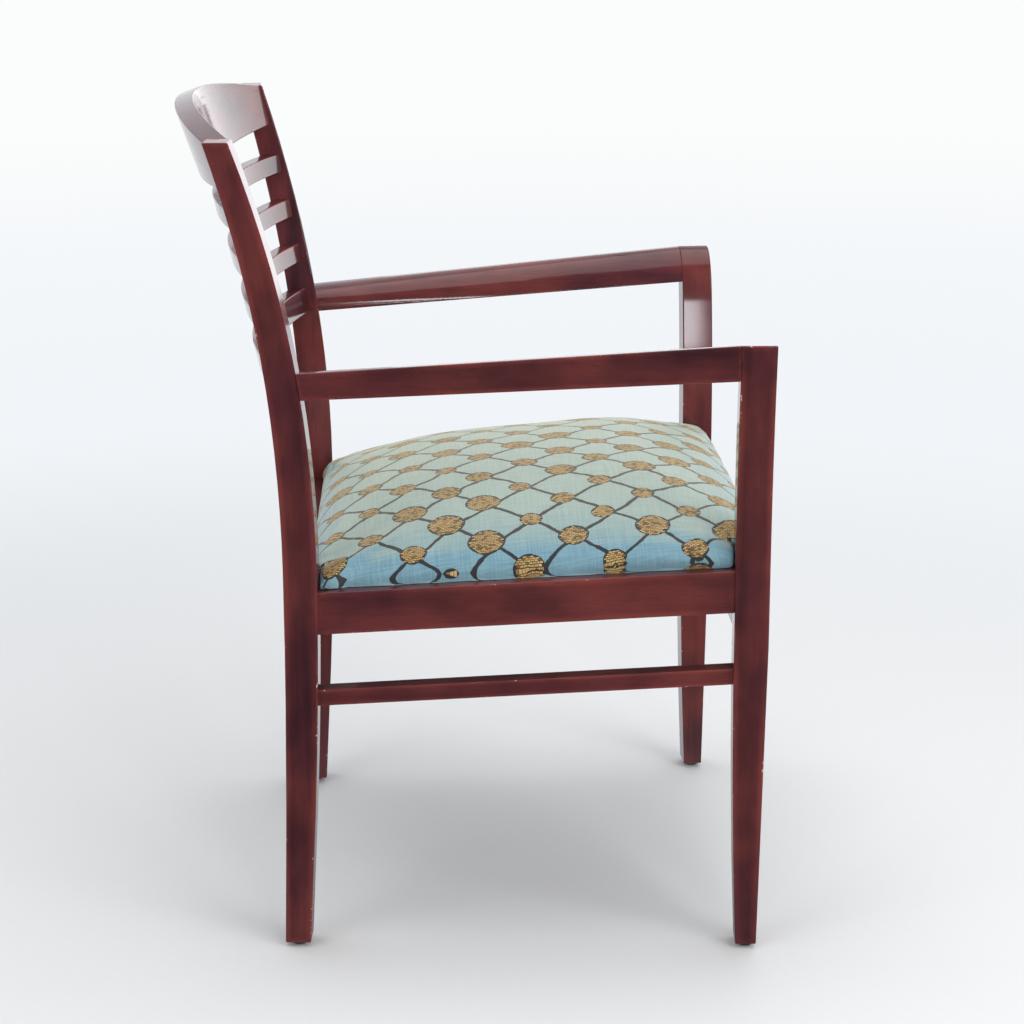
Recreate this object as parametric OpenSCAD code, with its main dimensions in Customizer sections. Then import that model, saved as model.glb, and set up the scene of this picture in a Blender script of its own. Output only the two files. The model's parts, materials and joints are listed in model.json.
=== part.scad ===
// Ladder-back armchair with an upholstered seat.
// Lengths are in millimetres. +Z is up, the chair faces -Y, and x = 0 is its plane of symmetry.
// Left and right are the sitter's, so right is -X.
// Each side is a flat frame of post, leg, arm, rail and stretcher, spread outward toward the front.

/* [Overall] */
// Height of the rear post tops above the floor
back_h = 864; // [830:1:900]
// Outer width across the rear posts
back_w = 506; // [470:1:560]
// Depth from the rear posts' feet to the fronts of the front legs
frame_d = 482; // [450:1:510]
// Angle at which each side frame spreads toward the front
splay = 3.2; // [0:0.1:5]

/* [Rear posts] */
// Thickness of a post across the chair
post_t = 32; // [28:1:36]
// Depth of a post at its foot
post_foot_d = 27; // [25:0.5:32]
// Depth of a post at its knee, where it is thickest
post_knee_d = 35; // [33:0.5:40]
// Depth of a post at its top
post_top_d = 25.5; // [25:0.5:32]
// Height of the knee
knee_h = 420; // [380:1:440]
// How far the knee stands forward of the foot
knee_forward = 17; // [0:0.5:25]
// How far the top sweeps back from the knee
top_sweep = 71; // [40:1:90]
// Height at which the posts start to flare outward
post_flare_h = 560; // [540:1:620]
// How far the post tops stand outside the feet
post_flare = 40; // [0:1:50]

/* [Front legs] */
// Thickness of a leg across the chair
leg_t = 32; // [28:1:36]
// Depth of a leg above its taper
leg_d = 36; // [32:0.5:40]
// Depth of a leg at its foot
leg_foot_d = 22; // [21:0.5:30]
// Height at which the taper toward the foot starts
leg_taper_h = 340; // [250:1:360]
// Height at which the leg starts to flare outward
flare_start_h = 440; // [430:1:480]
// How far the arm's outer edge stands outside the foot
arm_flare = 25; // [5:1:30]

/* [Arms] */
// Height of the arms' outer edges at the front
arm_front_h = 661; // [640:1:690]
// Height of the arms' outer edges at the posts
arm_back_h = 627; // [600:1:640]
// Height of the arm's outer face at the front
arm_front_tall = 38; // [32:1:44]
// Height of the arm's outer face at the post
arm_back_tall = 28; // [24:1:34]
// Width of the narrow flat along the arm's outer edge
arm_edge_w = 5; // [3:0.5:8]
// Height of the rounded top of the arm at the front
arm_front_roll = 48; // [40:1:56]
// Height of the rounded top of the arm at the post
arm_back_roll = 17; // [12:1:22]

/* [Back] */
// How far the crest rail bows back in the middle
crest_bow = 43.5; // [20:0.5:60]
// Height of the crest rail at its ends
crest_h = 46.9; // [40:0.1:56]
// Thickness of the crest rail
crest_t = 21; // [18:1:26]
// How much higher the crest rail's top is in the middle
crest_arch = 37; // [0:1:42]
// How much higher the crest rail's lower edge is in the middle, measured along its face
crest_low_arch = 8; // [0:1:15]
// Lean of the crest rail's face from upright
crest_lean = 18.5; // [8:0.5:22]
// Distance from the post tops down to the crest rail's lower edge at the posts
crest_drop = 44.5; // [40:0.5:54]
// Clear gap under the crest rail at the posts
crest_gap = 34.5; // [30:0.5:38]
// Clear gap under each slat
slat_gap = 31.5; // [28:0.5:36]
// Height of each upper slat
slat_h = 20.5; // [15:0.5:22]
// Height of the lowest slat
low_slat_h = 28; // [20:1:30]
// Thickness of the slats
slat_t = 16; // [14:0.5:20]
// How far the top slat bows back
slat_bow = 41; // [20:1:50]
// How much less each lower slat bows than the one above
slat_bow_step = 3; // [0:0.5:4]
// Lean of the slats' faces from upright
slat_lean = 12; // [0:0.5:16]

/* [Seat frame] */
// Height of the seat rails' tops at the rear posts
seat_back_h = 395; // [380:1:420]
// Rise of the seat rails toward the front
seat_tilt = 3.2; // [0:0.1:5]
// Height of the side and rear seat rails
rail_h = 45; // [38:1:55]
// Height of the front seat rail
front_rail_h = 92; // [60:1:100]
// Thickness of the seat rails
rail_t = 22; // [18:0.5:24]
// How far the rails' outer faces lie inside the legs' faces
rail_inset = 4; // [2:0.5:6]
// Distance from the side rails' tops down to the stretchers' tops
stretcher_drop = 106; // [80:1:140]
// Height of the side stretchers
stretcher_h = 17.5; // [14:0.5:22]
// Width of the side stretchers
stretcher_w = 20; // [14:0.5:22]
// Length of a corner block along each rail
block_leg = 78; // [64:1:90]
// Height of the corner blocks
block_h = 28; // [22:1:34]

/* [Seat] */
// Thickness of the plywood seat board
board_t = 12; // [9:0.5:15]
// How far the seat stops short of the outer faces of the side rails
seat_margin = 5; // [3:0.5:8]
// How far the seat stops short of the front legs' front faces
seat_front_gap = 3; // [2:0.5:8]
// Gap between the seat and each leg or post that it passes
seat_leg_gap = 3; // [2:0.5:5]
// Height of the cushion's widest line above the rails
seat_side_h = 15; // [12:1:40]
// Rise of the crown above the widest line
seat_crown_h = 66; // [20:1:75]
// How far the cushion tucks in at its lower edge
seat_tuck = 7; // [4:0.5:10]
// Thickness of the seat fabric with its lining
cover_t = 1.6; // [1:0.1:2]
// Width of the fabric turned under the board
cover_turn = 26; // [18:1:32]
// Thickness of the dust cloth under the seat
dust_t = 0.8; // [0.5:0.1:1.2]

/* [Hardware] */
// Diameter of the nail-on glides
glide_d = 19; // [16:0.5:20]
// Height of the glides
glide_h = 5; // [4:0.5:7]
// Diameter of the glides' nails
glide_nail_d = 2.4; // [2:0.1:3]
// Length of the glides' nails in the wood
glide_nail_len = 15; // [10:1:20]
// Diameter of the dowels in the seat rails, crest rail and arms
dowel_d = 8; // [6:0.5:9]
// Length of the dowels
dowel_len = 34; // [24:1:36]
// Diameter of the screws in the corner blocks
block_screw_d = 4; // [3:0.5:5]
// Length of the screws in the corner blocks
block_screw_len = 38; // [34:1:42]
// Diameter of the screws that hold the seat
seat_screw_d = 4.5; // [3.5:0.5:5]

/* [Hidden] */

// Steps along each curved outline, and a cut's overrun past the faces that it opens
curve_steps = 14;
round_steps = 8;
over = 2;
// Radial play of a dowel, screw or nail in its hole, and the play at its end
fit = 0.1;
end_play = 1;
// Gap between soft pieces and what they lie on
soft_gap = 0.3;
$fn = 48;

// Places that follow from the sizes above
leg_rear = frame_d - leg_d;
leg_toe = 6;
seat_low = -rail_h;
deepest_front = frame_d * cos(splay) + leg_t * sin(splay);
crest_low_z = back_h - crest_drop;
crest_set_share = 0.33;
crest_low_y = -post_front(crest_low_z) + (post_depth(crest_low_z) - crest_t) * crest_set_share;
crest_top_mid = crest_h + crest_arch;
deepest_back = crest_low_y + crest_top_mid * sin(crest_lean) + (crest_bow + crest_t) * cos(crest_lean);
centre_y = (deepest_front - deepest_back) / 2;
wood_tone = "#5a2a2a";
dark_tone = "#3d1f1d";
block_tone = "#b89a74";
steel_tone = "#9a9aa0";

// The post's front face, measured forward from its foot, and its depth, at height z
function post_front(z) = z <= knee_h
    ? knee_forward * sin(90 * z / knee_h)
    : knee_forward - top_sweep * pow((z - knee_h) / (back_h - knee_h), 2);
function post_depth(z) = z <= knee_h
    ? post_foot_d + (post_knee_d - post_foot_d) * sin(90 * z / knee_h)
    : post_knee_d - (post_knee_d - post_top_d) * pow((z - knee_h) / (back_h - knee_h), 2);
// How far the post's outer face stands out at height z
function spread(z) = post_flare * pow(max(0, z - post_flare_h) / (back_h - post_flare_h), 2);
// The leg's front and rear faces, measured forward from the rear posts' feet, at height z
function leg_front(z) = frame_d - leg_toe * max(0, 1 - z / leg_taper_h);
function leg_back(z) = leg_rear + (leg_d - leg_toe - leg_foot_d) * pow(max(0, 1 - z / leg_taper_h), 2);
// How far the leg's outer face stands out at height z
function flare(z) = arm_flare * pow(max(0, z - flare_start_h) / (arm_front_h - flare_start_h), 2);
// How far a rounded top of the given height and width has drawn in at height z below its top
function roll(z, top, roll_h, width) =
    width * (1 - sqrt(max(0, 1 - pow(max(0, z - top + roll_h) / roll_h, 2))));
// Heights from low to high, closer together toward the top, where the roll turns over
function rising(low, high, steps) = [for (i = [0:steps]) low + (high - low) * sin(90 * i / steps)];
// Half of the chair's width at world y, at a distance t inside the side frames' outer faces
function half_gap(t, y) = back_w / 2 - t * cos(splay) - (y + t * sin(splay)) * tan(splay);

// Everything is placed with the middle of the chair's depth at y = 0
module placed() translate([0, centre_y, 0]) children();

// The right side frame's place, with x inward, -y forward; the left one is its mirror image
module in_side_frame(side) {
    if (side == "left") mirror([1, 0, 0]) in_side_frame("right") children();
    else translate([-back_w / 2, 0, 0]) rotate([0, 0, -splay]) children();
}

// A side-view outline, in y and z, as a slab with its outer face at x = from
module side_slab(from, t) translate([from, 0, 0]) rotate([90, 0, 90]) linear_extrude(height = t) children();

// The seat's own frame, with z = 0 on the tops of the rails
module on_rails() translate([0, 0, seat_back_h]) rotate([-seat_tilt, 0, 0]) children();

// A plate in the seat's frame between two heights
module rail_band(low, high, wide = 2 * back_w, long = 2 * frame_d)
    on_rails() translate([-wide / 2, -long, low]) cube([wide, 2 * long, high - low]);

// The space between two side frames whose members are t thick
module between_sides(t, front_y, back_y, low, high)
    translate([0, 0, low]) linear_extrude(height = high - low)
        polygon([[-half_gap(t, front_y), front_y], [half_gap(t, front_y), front_y],
            [half_gap(t, back_y), back_y], [-half_gap(t, back_y), back_y]]);

module post_outline() {
    heights = concat([for (i = [0:curve_steps - 1]) glide_h + (knee_h - glide_h) * i / curve_steps],
        [for (i = [0:curve_steps]) knee_h + (back_h - knee_h) * i / curve_steps]);
    last = len(heights) - 1;
    polygon(concat([for (z = heights) [-post_front(z), z]],
        [for (i = [0:last]) [-post_front(heights[last - i]) + post_depth(heights[last - i]), heights[last - i]]]));
}

module leg_outline() {
    foot = [for (i = [0:curve_steps]) glide_h + (leg_taper_h - glide_h) * i / curve_steps];
    polygon(concat([[-leg_front(glide_h), glide_h], [-leg_front(leg_taper_h), leg_taper_h],
            [-frame_d, arm_front_h], [-leg_rear, arm_front_h]],
        [for (i = [0:curve_steps]) [-leg_back(foot[curve_steps - i]), foot[curve_steps - i]]]));
}

// The leg seen from the front, with its flare and rounded top
module leg_face() {
    outer = rising(flare_start_h, arm_front_h, curve_steps);
    polygon(concat([[leg_t, glide_h], [0, glide_h]], [for (z = outer) [-flare(z), z]],
        [for (i = [0:curve_steps]) let (z = outer[curve_steps - i])
            [leg_t - flare(z) - roll(z, arm_front_h, arm_front_roll, leg_t - arm_edge_w), z]]));
}

// A round nail hole or nail in the foot that stands at y
module foot_nail(r, w, y, up) translate([w, y, 0]) cylinder(r = r, h = glide_h + up);

function post_foot_y() = -post_front(glide_h) + post_depth(glide_h) / 2;
function leg_foot_y() = -(leg_front(glide_h) + leg_back(glide_h)) / 2;

// The post seen from the front, widened past the feet by its flare
module post_face(reach = 0) {
    heights = [for (i = [0:curve_steps]) post_flare_h + (back_h - post_flare_h) * i / curve_steps];
    polygon(concat([[post_t + reach, glide_h], [-reach, glide_h]], [for (z = heights) [-spread(z) - reach, z]],
        [for (i = [0:curve_steps]) let (z = heights[curve_steps - i]) [post_t - spread(z) + reach, z]]));
}

module post_blank(side) in_side_frame(side) intersection() {
    side_slab(-post_flare - over, post_t + post_flare + 2 * over) post_outline();
    rotate([90, 0, 0]) translate([0, 0, -frame_d / 2]) linear_extrude(height = frame_d) post_face();
}

module back_post(side) color(wood_tone) placed() difference() {
    post_blank(side);
    in_side_frame(side) foot_nail(glide_nail_d / 2 + fit, post_t / 2, post_foot_y(), glide_nail_len + end_play);
    rail_dowel_pairs(side, dowel_d / 2 + fit, end_play);
    cross_dowel_pairs(side, dowel_d / 2 + fit, end_play);
    arm_dowel_pairs(side, dowel_d / 2 + fit, end_play);
    stretcher_dowel_pair(side, dowel_d / 2 + fit, end_play);
    crest_dowel_pair(side, dowel_d / 2 + fit, end_play);
    for (n = [1:slat_count]) slat_tongue(n, fit);
}

module leg_blank(side) in_side_frame(side) intersection() {
    side_slab(-arm_flare - over, leg_t + arm_flare + 2 * over) leg_outline();
    translate([0, -leg_rear + over, 0]) rotate([90, 0, 0])
        linear_extrude(height = leg_d + 2 * over) leg_face();
}

module front_leg(side) color(wood_tone) placed() difference() {
    leg_blank(side);
    in_side_frame(side) foot_nail(glide_nail_d / 2 + fit, leg_t / 2, leg_foot_y(), glide_nail_len + end_play);
    rail_dowel_pairs(side, dowel_d / 2 + fit, end_play);
    cross_dowel_pairs(side, dowel_d / 2 + fit, end_play);
    arm_dowel_pairs(side, dowel_d / 2 + fit, end_play);
    stretcher_dowel_pair(side, dowel_d / 2 + fit, end_play);
}

// One section across the arm, q of the way from the post to the leg, at distance u forward
function arm_section(u, q) = let (
    top = arm_back_h + (arm_front_h - arm_back_h) * q,
    low = top - arm_back_tall - (arm_front_tall - arm_back_tall) * q,
    roll_h = arm_back_roll + (arm_front_roll - arm_back_roll) * q,
    heights = rising(low, top, round_steps),
    out = [for (z = [low, top]) flare(arm_front_h - (top - z)) * q + spread(z) * (1 - q)])
    concat([[-out[0], -u, low], [-out[1], -u, top]],
        [for (i = [0:round_steps]) let (z = heights[round_steps - i],
            lean = out[0] + (out[1] - out[0]) * (z - low) / (top - low))
            [leg_t - lean - roll(z, top, roll_h, leg_t - arm_edge_w), -u, z]]);

module arm_blank() {
    first = post_front(arm_back_h) - post_knee_d / 2;
    stations = [for (i = [0:curve_steps]) let (q = i / curve_steps)
        arm_section(first + (leg_rear - first) * q, q)];
    n = len(stations[0]);
    last = curve_steps * n;
    polyhedron(points = [for (s = stations) for (p = s) p], faces = concat(
        [[for (j = [0:n - 1]) n - 1 - j]], [[for (j = [0:n - 1]) last + j]],
        [for (i = [0:curve_steps - 1]) for (j = [0:n - 1]) let (a = i * n + j, b = i * n + (j + 1) % n)
            each [[a, b, a + n], [b, b + n, a + n]]]), convexity = 4);
}

module arm(side) color(wood_tone) placed() difference() {
    in_side_frame(side) arm_blank();
    in_side_frame(side) side_slab(-arm_flare, leg_t + 2 * arm_flare) post_outline();
    arm_dowel_pairs(side, dowel_d / 2 + fit, end_play);
}

// A band bowed toward the back, whose ends stand at y = 0; the radius follows from the bow
module bowed_band(half, bow, t) {
    r = (half * half + bow * bow) / (2 * bow);
    translate([0, bow - r]) difference() {
        circle(r = r + t, $fn = 240);
        circle(r = r, $fn = 240);
        translate([-2 * r, -2 * r - bow]) square([4 * r, 3 * r - over]);
    }
}

// The clear space between the rear posts, reaching a distance into both
module between_posts(reach = 0) intersection_for(side = sides)
    in_side_frame(side) rotate([90, 0, 0]) translate([0, 0, -frame_d / 2]) linear_extrude(height = frame_d)
        polygon(concat([[2 * back_w, knee_h], [post_t - reach, knee_h]],
            [for (i = [0:curve_steps]) let (z = post_flare_h + (back_h - post_flare_h) * i / curve_steps)
                [post_t - spread(z) - reach, z]],
            [[post_t - post_flare - reach, 2 * back_h], [2 * back_w, 2 * back_h]]));

module crest_rail() color(wood_tone) placed() difference() {
    intersection() {
        between_posts();
        translate([0, crest_low_y, crest_low_z]) rotate([-crest_lean, 0, 0]) intersection() {
            translate([0, 0, -over]) linear_extrude(height = crest_top_mid + 2 * over)
                bowed_band(half_gap(post_t, crest_low_y) + post_flare, crest_bow, crest_t);
            translate([0, 2 * frame_d, 0]) rotate([90, 0, 0]) linear_extrude(height = 4 * frame_d) crest_face();
        }
    }
    for (side = ["left", "right"]) crest_dowel_pair(side, dowel_d / 2 + fit, end_play);
}

// The crest rail seen from the front, with an arched top and a lower edge that rises a little
module crest_face() {
    w = half_gap(post_t, crest_low_y) + post_flare;
    function arch(x, rise) = rise * (1 - pow(x / w, 2));
    edge = [for (i = [-curve_steps:curve_steps]) w * (curve_steps + 1) / curve_steps * i / curve_steps];
    last = len(edge) - 1;
    polygon(concat([for (x = edge) [x, arch(x, crest_low_arch)]],
        [for (i = [0:last]) [edge[last - i], crest_h + arch(edge[last - i], crest_arch)]]));
}

slat_count = 4;
function slat_tall(n) = n == slat_count ? low_slat_h : slat_h;
function slat_low_z(n) = crest_low_z - crest_gap - (n - 1) * (slat_gap + slat_h) - slat_tall(n);
function slat_y(n) = let (z = slat_low_z(n) + slat_tall(n) / 2)
    -post_front(z) + (post_depth(z) - slat_t) / 2;
slat_tongue_len = 12;
slat_tongue_edge = 3;

// The tongues by which a slat enters both posts, thinner than the slat on every side
module slat_tongue(n, play) {
    y = slat_y(n) + slat_tongue_edge;
    intersection() {
        translate([-back_w, y - play, slat_low_z(n) + slat_tongue_edge - play])
            cube([2 * back_w, slat_t - 2 * slat_tongue_edge + 2 * play,
                slat_tall(n) - 2 * slat_tongue_edge + 2 * play]);
        difference() {
            between_posts(slat_tongue_len + play);
            between_posts(-over);
        }
    }
}

// A bowed bar whose faces lean about its middle height and whose edges are level
module slat_bar(n) intersection() {
    mid_z = slat_low_z(n) + slat_tall(n) / 2;
    half = half_gap(post_t, slat_y(n)) + spread(mid_z);
    translate([-back_w, -frame_d, slat_low_z(n)]) cube([2 * back_w, 2 * frame_d, slat_tall(n)]);
    translate([0, slat_y(n), mid_z]) rotate([-slat_lean, 0, 0])
        translate([0, 0, -2 * slat_tall(n)]) linear_extrude(height = 4 * slat_tall(n))
            bowed_band(half, (slat_bow - (n - 1) * slat_bow_step) * cos(slat_lean), slat_t * cos(slat_lean));
}

module back_slat(n) color(wood_tone) placed() union() {
    intersection() {
        between_posts();
        slat_bar(n);
    }
    slat_ends(n);
}

// The slat's own tongues, each rooted a little way inside the bowed part
module slat_ends(n) intersection() {
    slat_tongue(n, 0);
    union() {
        difference() {
            between_posts(slat_tongue_len + over);
            between_posts();
        }
        slat_bar(n);
    }
}

// A rail or stretcher in a side frame, between the post and the leg, cut to a band under the seat
module side_bar(side, inset, t, low, high) difference() {
    intersection() {
        in_side_frame(side) translate([inset, -leg_rear, 0]) cube([t, leg_rear + over, back_h]);
        rail_band(low, high);
    }
    post_blank(side);
}

stretcher_high = -stretcher_drop;
stretcher_low = stretcher_high - stretcher_h;

module side_seat_rail(side) color(dark_tone) placed() difference() {
    side_bar(side, rail_inset, rail_t, seat_low, 0);
    rail_dowel_pairs(side, dowel_d / 2 + fit, end_play);
    block_screw_set(fit, 0);
}

module side_stretcher(side) color(wood_tone) placed() difference() {
    side_bar(side, (leg_t - stretcher_w) / 2, stretcher_w, stretcher_low, stretcher_high);
    stretcher_dowel_pair(side, dowel_d / 2 + fit, end_play);
}

front_rail_y = -(frame_d - rail_inset) * cos(splay) - leg_t * sin(splay);
rear_rail_y = -post_front(seat_back_h) + rail_inset;

module front_seat_rail() color(dark_tone) placed() difference() {
    intersection() {
        between_sides(leg_t, front_rail_y, front_rail_y + rail_t, 0, back_h);
        rail_band(-front_rail_h, 0);
    }
    for (side = ["left", "right"]) cross_dowel_pairs(side, dowel_d / 2 + fit, end_play);
    block_screw_set(fit, 0);
}

module rear_seat_rail() color(dark_tone) placed() difference() {
    intersection() {
        between_sides(post_t, rear_rail_y, rear_rail_y + rail_t, 0, back_h);
        rail_band(seat_low, 0);
    }
    for (side = ["left", "right"]) cross_dowel_pairs(side, dowel_d / 2 + fit, end_play);
    block_screw_set(fit, 0);
}

// A dowel with its axis along z, reaching a given depth into the post or leg at z > 0
dowel_wall = 1.5;
module dowel(r, play, into = dowel_len / 2)
    translate([0, 0, into - dowel_len - play]) cylinder(r = r, h = dowel_len + 2 * play);

// Pairs of dowels at the ends of a side rail, one above the other
dowel_edge_share = 0.27;
edge_shares = [dowel_edge_share, 1 - dowel_edge_share];
module rail_dowel_pairs(side, r, play) in_side_frame(side)
    for (end_u = [post_front(seat_back_h), leg_rear], share = edge_shares)
        translate([rail_inset + rail_t / 2, -end_u, seat_back_h + end_u * tan(seat_tilt) - rail_h * share])
            rotate([90, 0, 0]) dowel(r, play);

// Pairs of dowels at the ends of the front and rear rails, short of the side rails' dowels
module cross_dowel_pairs(side, r, play) on_side(side)
    for (rail = [[front_rail_y, front_rail_h, leg_t], [rear_rail_y, rail_h, post_t]], share = edge_shares) {
        y = rail[0] + rail_t / 2;
        into = rail[2] - rail_inset - rail_t / 2 - dowel_d / 2 - dowel_wall - end_play;
        translate([half_gap(rail[2], y), y, seat_back_h - y * tan(seat_tilt) - rail[1] * share])
            rotate([0, 90, 0]) dowel(r, play, into);
    }

// Pairs of dowels at the ends of an arm, side by side; those in the post stop short of the lowest slat
arm_dowel_side_share = 0.3;
module arm_dowel_pairs(side, r, play) in_side_frame(side)
    for (w = [leg_t * arm_dowel_side_share, leg_t * (1 - arm_dowel_side_share)]) {
        back_z = arm_back_h - arm_back_tall + dowel_d;
        back_in = (post_depth(back_z) - slat_t) / 2 + slat_tongue_edge - dowel_wall - end_play;
        translate([w - spread(back_z), -post_front(back_z), back_z]) rotate([-90, 0, 0]) dowel(r, play, back_in);
        front_z = arm_front_h - arm_front_tall + dowel_d;
        translate([w - flare(front_z), -leg_rear, front_z]) rotate([90, 0, 0]) dowel(r, play);
    }

// One dowel at each end of a stretcher
module stretcher_dowel_pair(side, r, play) in_side_frame(side)
    for (end_u = [post_front(seat_back_h - stretcher_drop), leg_rear])
        translate([leg_t / 2, -end_u,
            seat_back_h + end_u * tan(seat_tilt) - stretcher_drop - stretcher_h / 2])
            rotate([90, 0, 0]) dowel(r, play);

// Two dowels at each end of the crest rail
crest_dowel_share = 0.25;
crest_dowel_deep_share = 0.62;
module crest_dowel_pair(side, r, play) on_side(side)
    for (share = [crest_dowel_share, 1 - crest_dowel_share])
        translate([0, crest_low_y, crest_low_z]) rotate([-crest_lean, 0, 0])
            translate([half_gap(post_t, crest_low_y) + spread(crest_low_z + crest_h * share),
                crest_t * crest_dowel_deep_share, crest_h * share])
                rotate([0, 90, 0]) dowel(r, play);

// Half of the clear width between the side rails at world y
function rail_side(y) = half_gap(rail_inset + rail_t, y);

// The inner corners of the seat rails, front then rear, each as its y and the direction into the seat
corner_ys = [front_rail_y + rail_t, rear_rail_y];
corner_dirs = [1, -1];
sides = ["left", "right"];

module on_side(side) {
    if (side == "left") children();
    else mirror([1, 0, 0]) children();
}

// A corner block: a triangle in plan whose corner is cut off to clear the leg or post
block_cut = 20;
module block_plan(y0, dir) {
    near = y0 + dir * block_cut;
    far = y0 + dir * block_leg;
    polygon([[rail_side(y0) - block_leg, y0], [rail_side(y0) - block_cut, y0],
        [rail_side(near), near], [rail_side(far), far]]);
}

module corner_block(end, side) color(block_tone) placed() difference() {
    intersection() {
        on_side(side) linear_extrude(height = back_h) block_plan(corner_ys[end], corner_dirs[end]);
        rail_band(-block_h, 0);
    }
    block_screw_set(fit, block_leg);
    seat_screw_set(fit, block_h);
}

// Screws through the blocks into the rails, each driven square to its rail from a sunk head
block_screw_share = 0.6;
block_screw_levels = [0.33, 0.67];
block_screw_in_rail = 16;
screw_head_share = 2;
screw_head_h = 3;
module head_screw(d, length, play, head_run) {
    cylinder(r = d / 2 + play, h = length + play);
    translate([0, 0, -screw_head_h - head_run])
        cylinder(r = d * screw_head_share / 2 + play, h = screw_head_h + head_run);
}

module block_screw_set(play, head_run) on_rails()
    for (side = sides, end = [0, 1]) on_side(side) {
        y0 = corner_ys[end] / cos(seat_tilt);
        away = y0 + corner_dirs[end] * block_leg * block_screw_share;
        depth = block_screw_len - block_screw_in_rail;
        translate([rail_side(away) - depth, away, -block_h * block_screw_levels[0]]) rotate([0, 90, 0])
            head_screw(block_screw_d, block_screw_len, play, head_run);
        translate([rail_side(y0) - block_leg * block_screw_share,
            y0 + corner_dirs[end] * depth, -block_h * block_screw_levels[1]])
            rotate([90 * corner_dirs[end], 0, 0]) head_screw(block_screw_d, block_screw_len, play, head_run);
    }

// Screws up through the blocks into the seat board
seat_screw_in = 27;
seat_screw_end_gap = 3;
module seat_screw_set(play, head_run) on_rails()
    for (side = sides, end = [0, 1]) on_side(side) {
        y0 = corner_ys[end] / cos(seat_tilt);
        translate([rail_side(y0) - seat_screw_in, y0 + corner_dirs[end] * seat_screw_in, -block_h])
            head_screw(seat_screw_d, block_h + board_low + board_t - seat_screw_end_gap, play, head_run);
    }

// The cushion's plan in the seat's frame: notched round the legs and posts at its lower edge
seat_front_y = -(frame_d - seat_front_gap);
seat_rear_y = rear_rail_y + rail_t / 2;
seat_mid_y = (seat_front_y + seat_rear_y) / 2;
seat_half_d = (seat_rear_y - seat_front_y) / 2;
front_notch_y = -leg_rear * cos(splay) + seat_leg_gap + leg_t * sin(splay);
rear_notch_y = -post_front(knee_h) - seat_leg_gap - post_t * sin(splay);
function seat_side(y) = half_gap(rail_inset + seat_margin, y);
function notch_side(t, y) = half_gap(t, y) - seat_leg_gap;
side_points = 5;
end_points = 4;
// One half of the outline, from the middle of the rear edge round to the middle of the front
half_outline = concat(
    [for (i = [0:end_points - 1]) [notch_side(post_t, seat_rear_y) * i / end_points, seat_rear_y]],
    [[notch_side(post_t, seat_rear_y), seat_rear_y], [notch_side(post_t, rear_notch_y), rear_notch_y]],
    [for (i = [0:side_points]) let (y = rear_notch_y + (front_notch_y - rear_notch_y) * i / side_points)
        [seat_side(y), y]],
    [[notch_side(leg_t, front_notch_y), front_notch_y], [notch_side(leg_t, seat_front_y), seat_front_y]],
    [for (i = [0:end_points - 1]) [notch_side(leg_t, seat_front_y) * (1 - (i + 1) / end_points), seat_front_y]]);
half_last = len(half_outline) - 1;
seat_outline = concat(half_outline,
    [for (i = [1:half_last - 1]) [-half_outline[half_last - i][0], half_outline[half_last - i][1]]]);
// The same points on the smooth rounded shape that the crown has
corner_power = 3;
function smooth_point(p) = let (
    across = p[0] / seat_side(p[1]), along = (p[1] - seat_mid_y) / seat_half_d,
    k = 1 / pow(pow(abs(across), corner_power) + pow(abs(along), corner_power), 1 / corner_power),
    y = seat_mid_y + k * along * seat_half_d)
    [k * across * seat_side(y), y];

// Levels of the cushion: how far each ring draws in, its height, and how smooth it is
tuck_shares = [[1, 0], [0.45, 0.12], [0.12, 0.36], [0, 1]];
crown_shares = [0.012, 0.045, 0.1, 0.18, 0.29, 0.44, 0.64, 0.84];
crown_power = 2.3;
crown_round = 0.62;
smooth_by = 0.2;
board_low = soft_gap + cover_t;
function crown(s) = pow(1 - pow(1 - s, crown_power), crown_round);
function seat_ring(shrink, smooth, z) = [for (p = seat_outline) let (
    q = smooth_point(p), m = p + (q - p) * smooth, k = 1 - shrink)
    [m[0] * k, seat_mid_y + (m[1] - seat_mid_y) * k, z]];

// The whole padded form, drawn in by skin on every side
module seat_form(skin) {
    low = soft_gap + skin;
    draw = skin / seat_half_d;
    rings = concat(
        [for (t = tuck_shares) seat_ring(draw + t[0] * seat_tuck / seat_half_d, 0,
            low + (seat_side_h - low) * t[1])],
        [for (s = crown_shares) seat_ring(draw + (1 - draw) * s, min(1, s / smooth_by),
            seat_side_h - skin + seat_crown_h * crown(s))]);
    n = len(seat_outline);
    count = len(rings);
    top = [0, seat_mid_y, seat_side_h + seat_crown_h - skin];
    points = concat([for (r = rings) each r], [top, [0, seat_mid_y, low]]);
    polyhedron(points = points, faces = concat(
        [for (j = [0:n - 1]) [(j + 1) % n, j, count * n + 1]],
        [for (i = [0:count - 2]) for (j = [0:n - 1]) let (a = i * n + j, b = i * n + (j + 1) % n)
            each [[a, b, a + n], [b, b + n, a + n]]],
        [for (j = [0:n - 1]) [(count - 1) * n + j, (count - 1) * n + (j + 1) % n, count * n]]),
        convexity = 6);
}

// The outline drawn in by a distance, as a flat plate
module seat_plate(inward, low, t) translate([0, 0, low]) linear_extrude(height = t)
    polygon([for (p = seat_ring(inward / seat_half_d, 0, 0)) [p[0], p[1]]]);

module seat_cover() color("#8fb8b6") placed() difference() {
    on_rails() seat_form(0);
    on_rails() seat_form(cover_t);
    on_rails() seat_plate(seat_tuck + cover_turn, 0, board_low + over);
    seat_screw_set(2 * fit, 0);
}

module seat_board() color("#c8a878") placed() difference() {
    on_rails() seat_plate(seat_tuck + cover_t + 2 * soft_gap, board_low, board_t);
    seat_screw_set(fit, 0);
}

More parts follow.
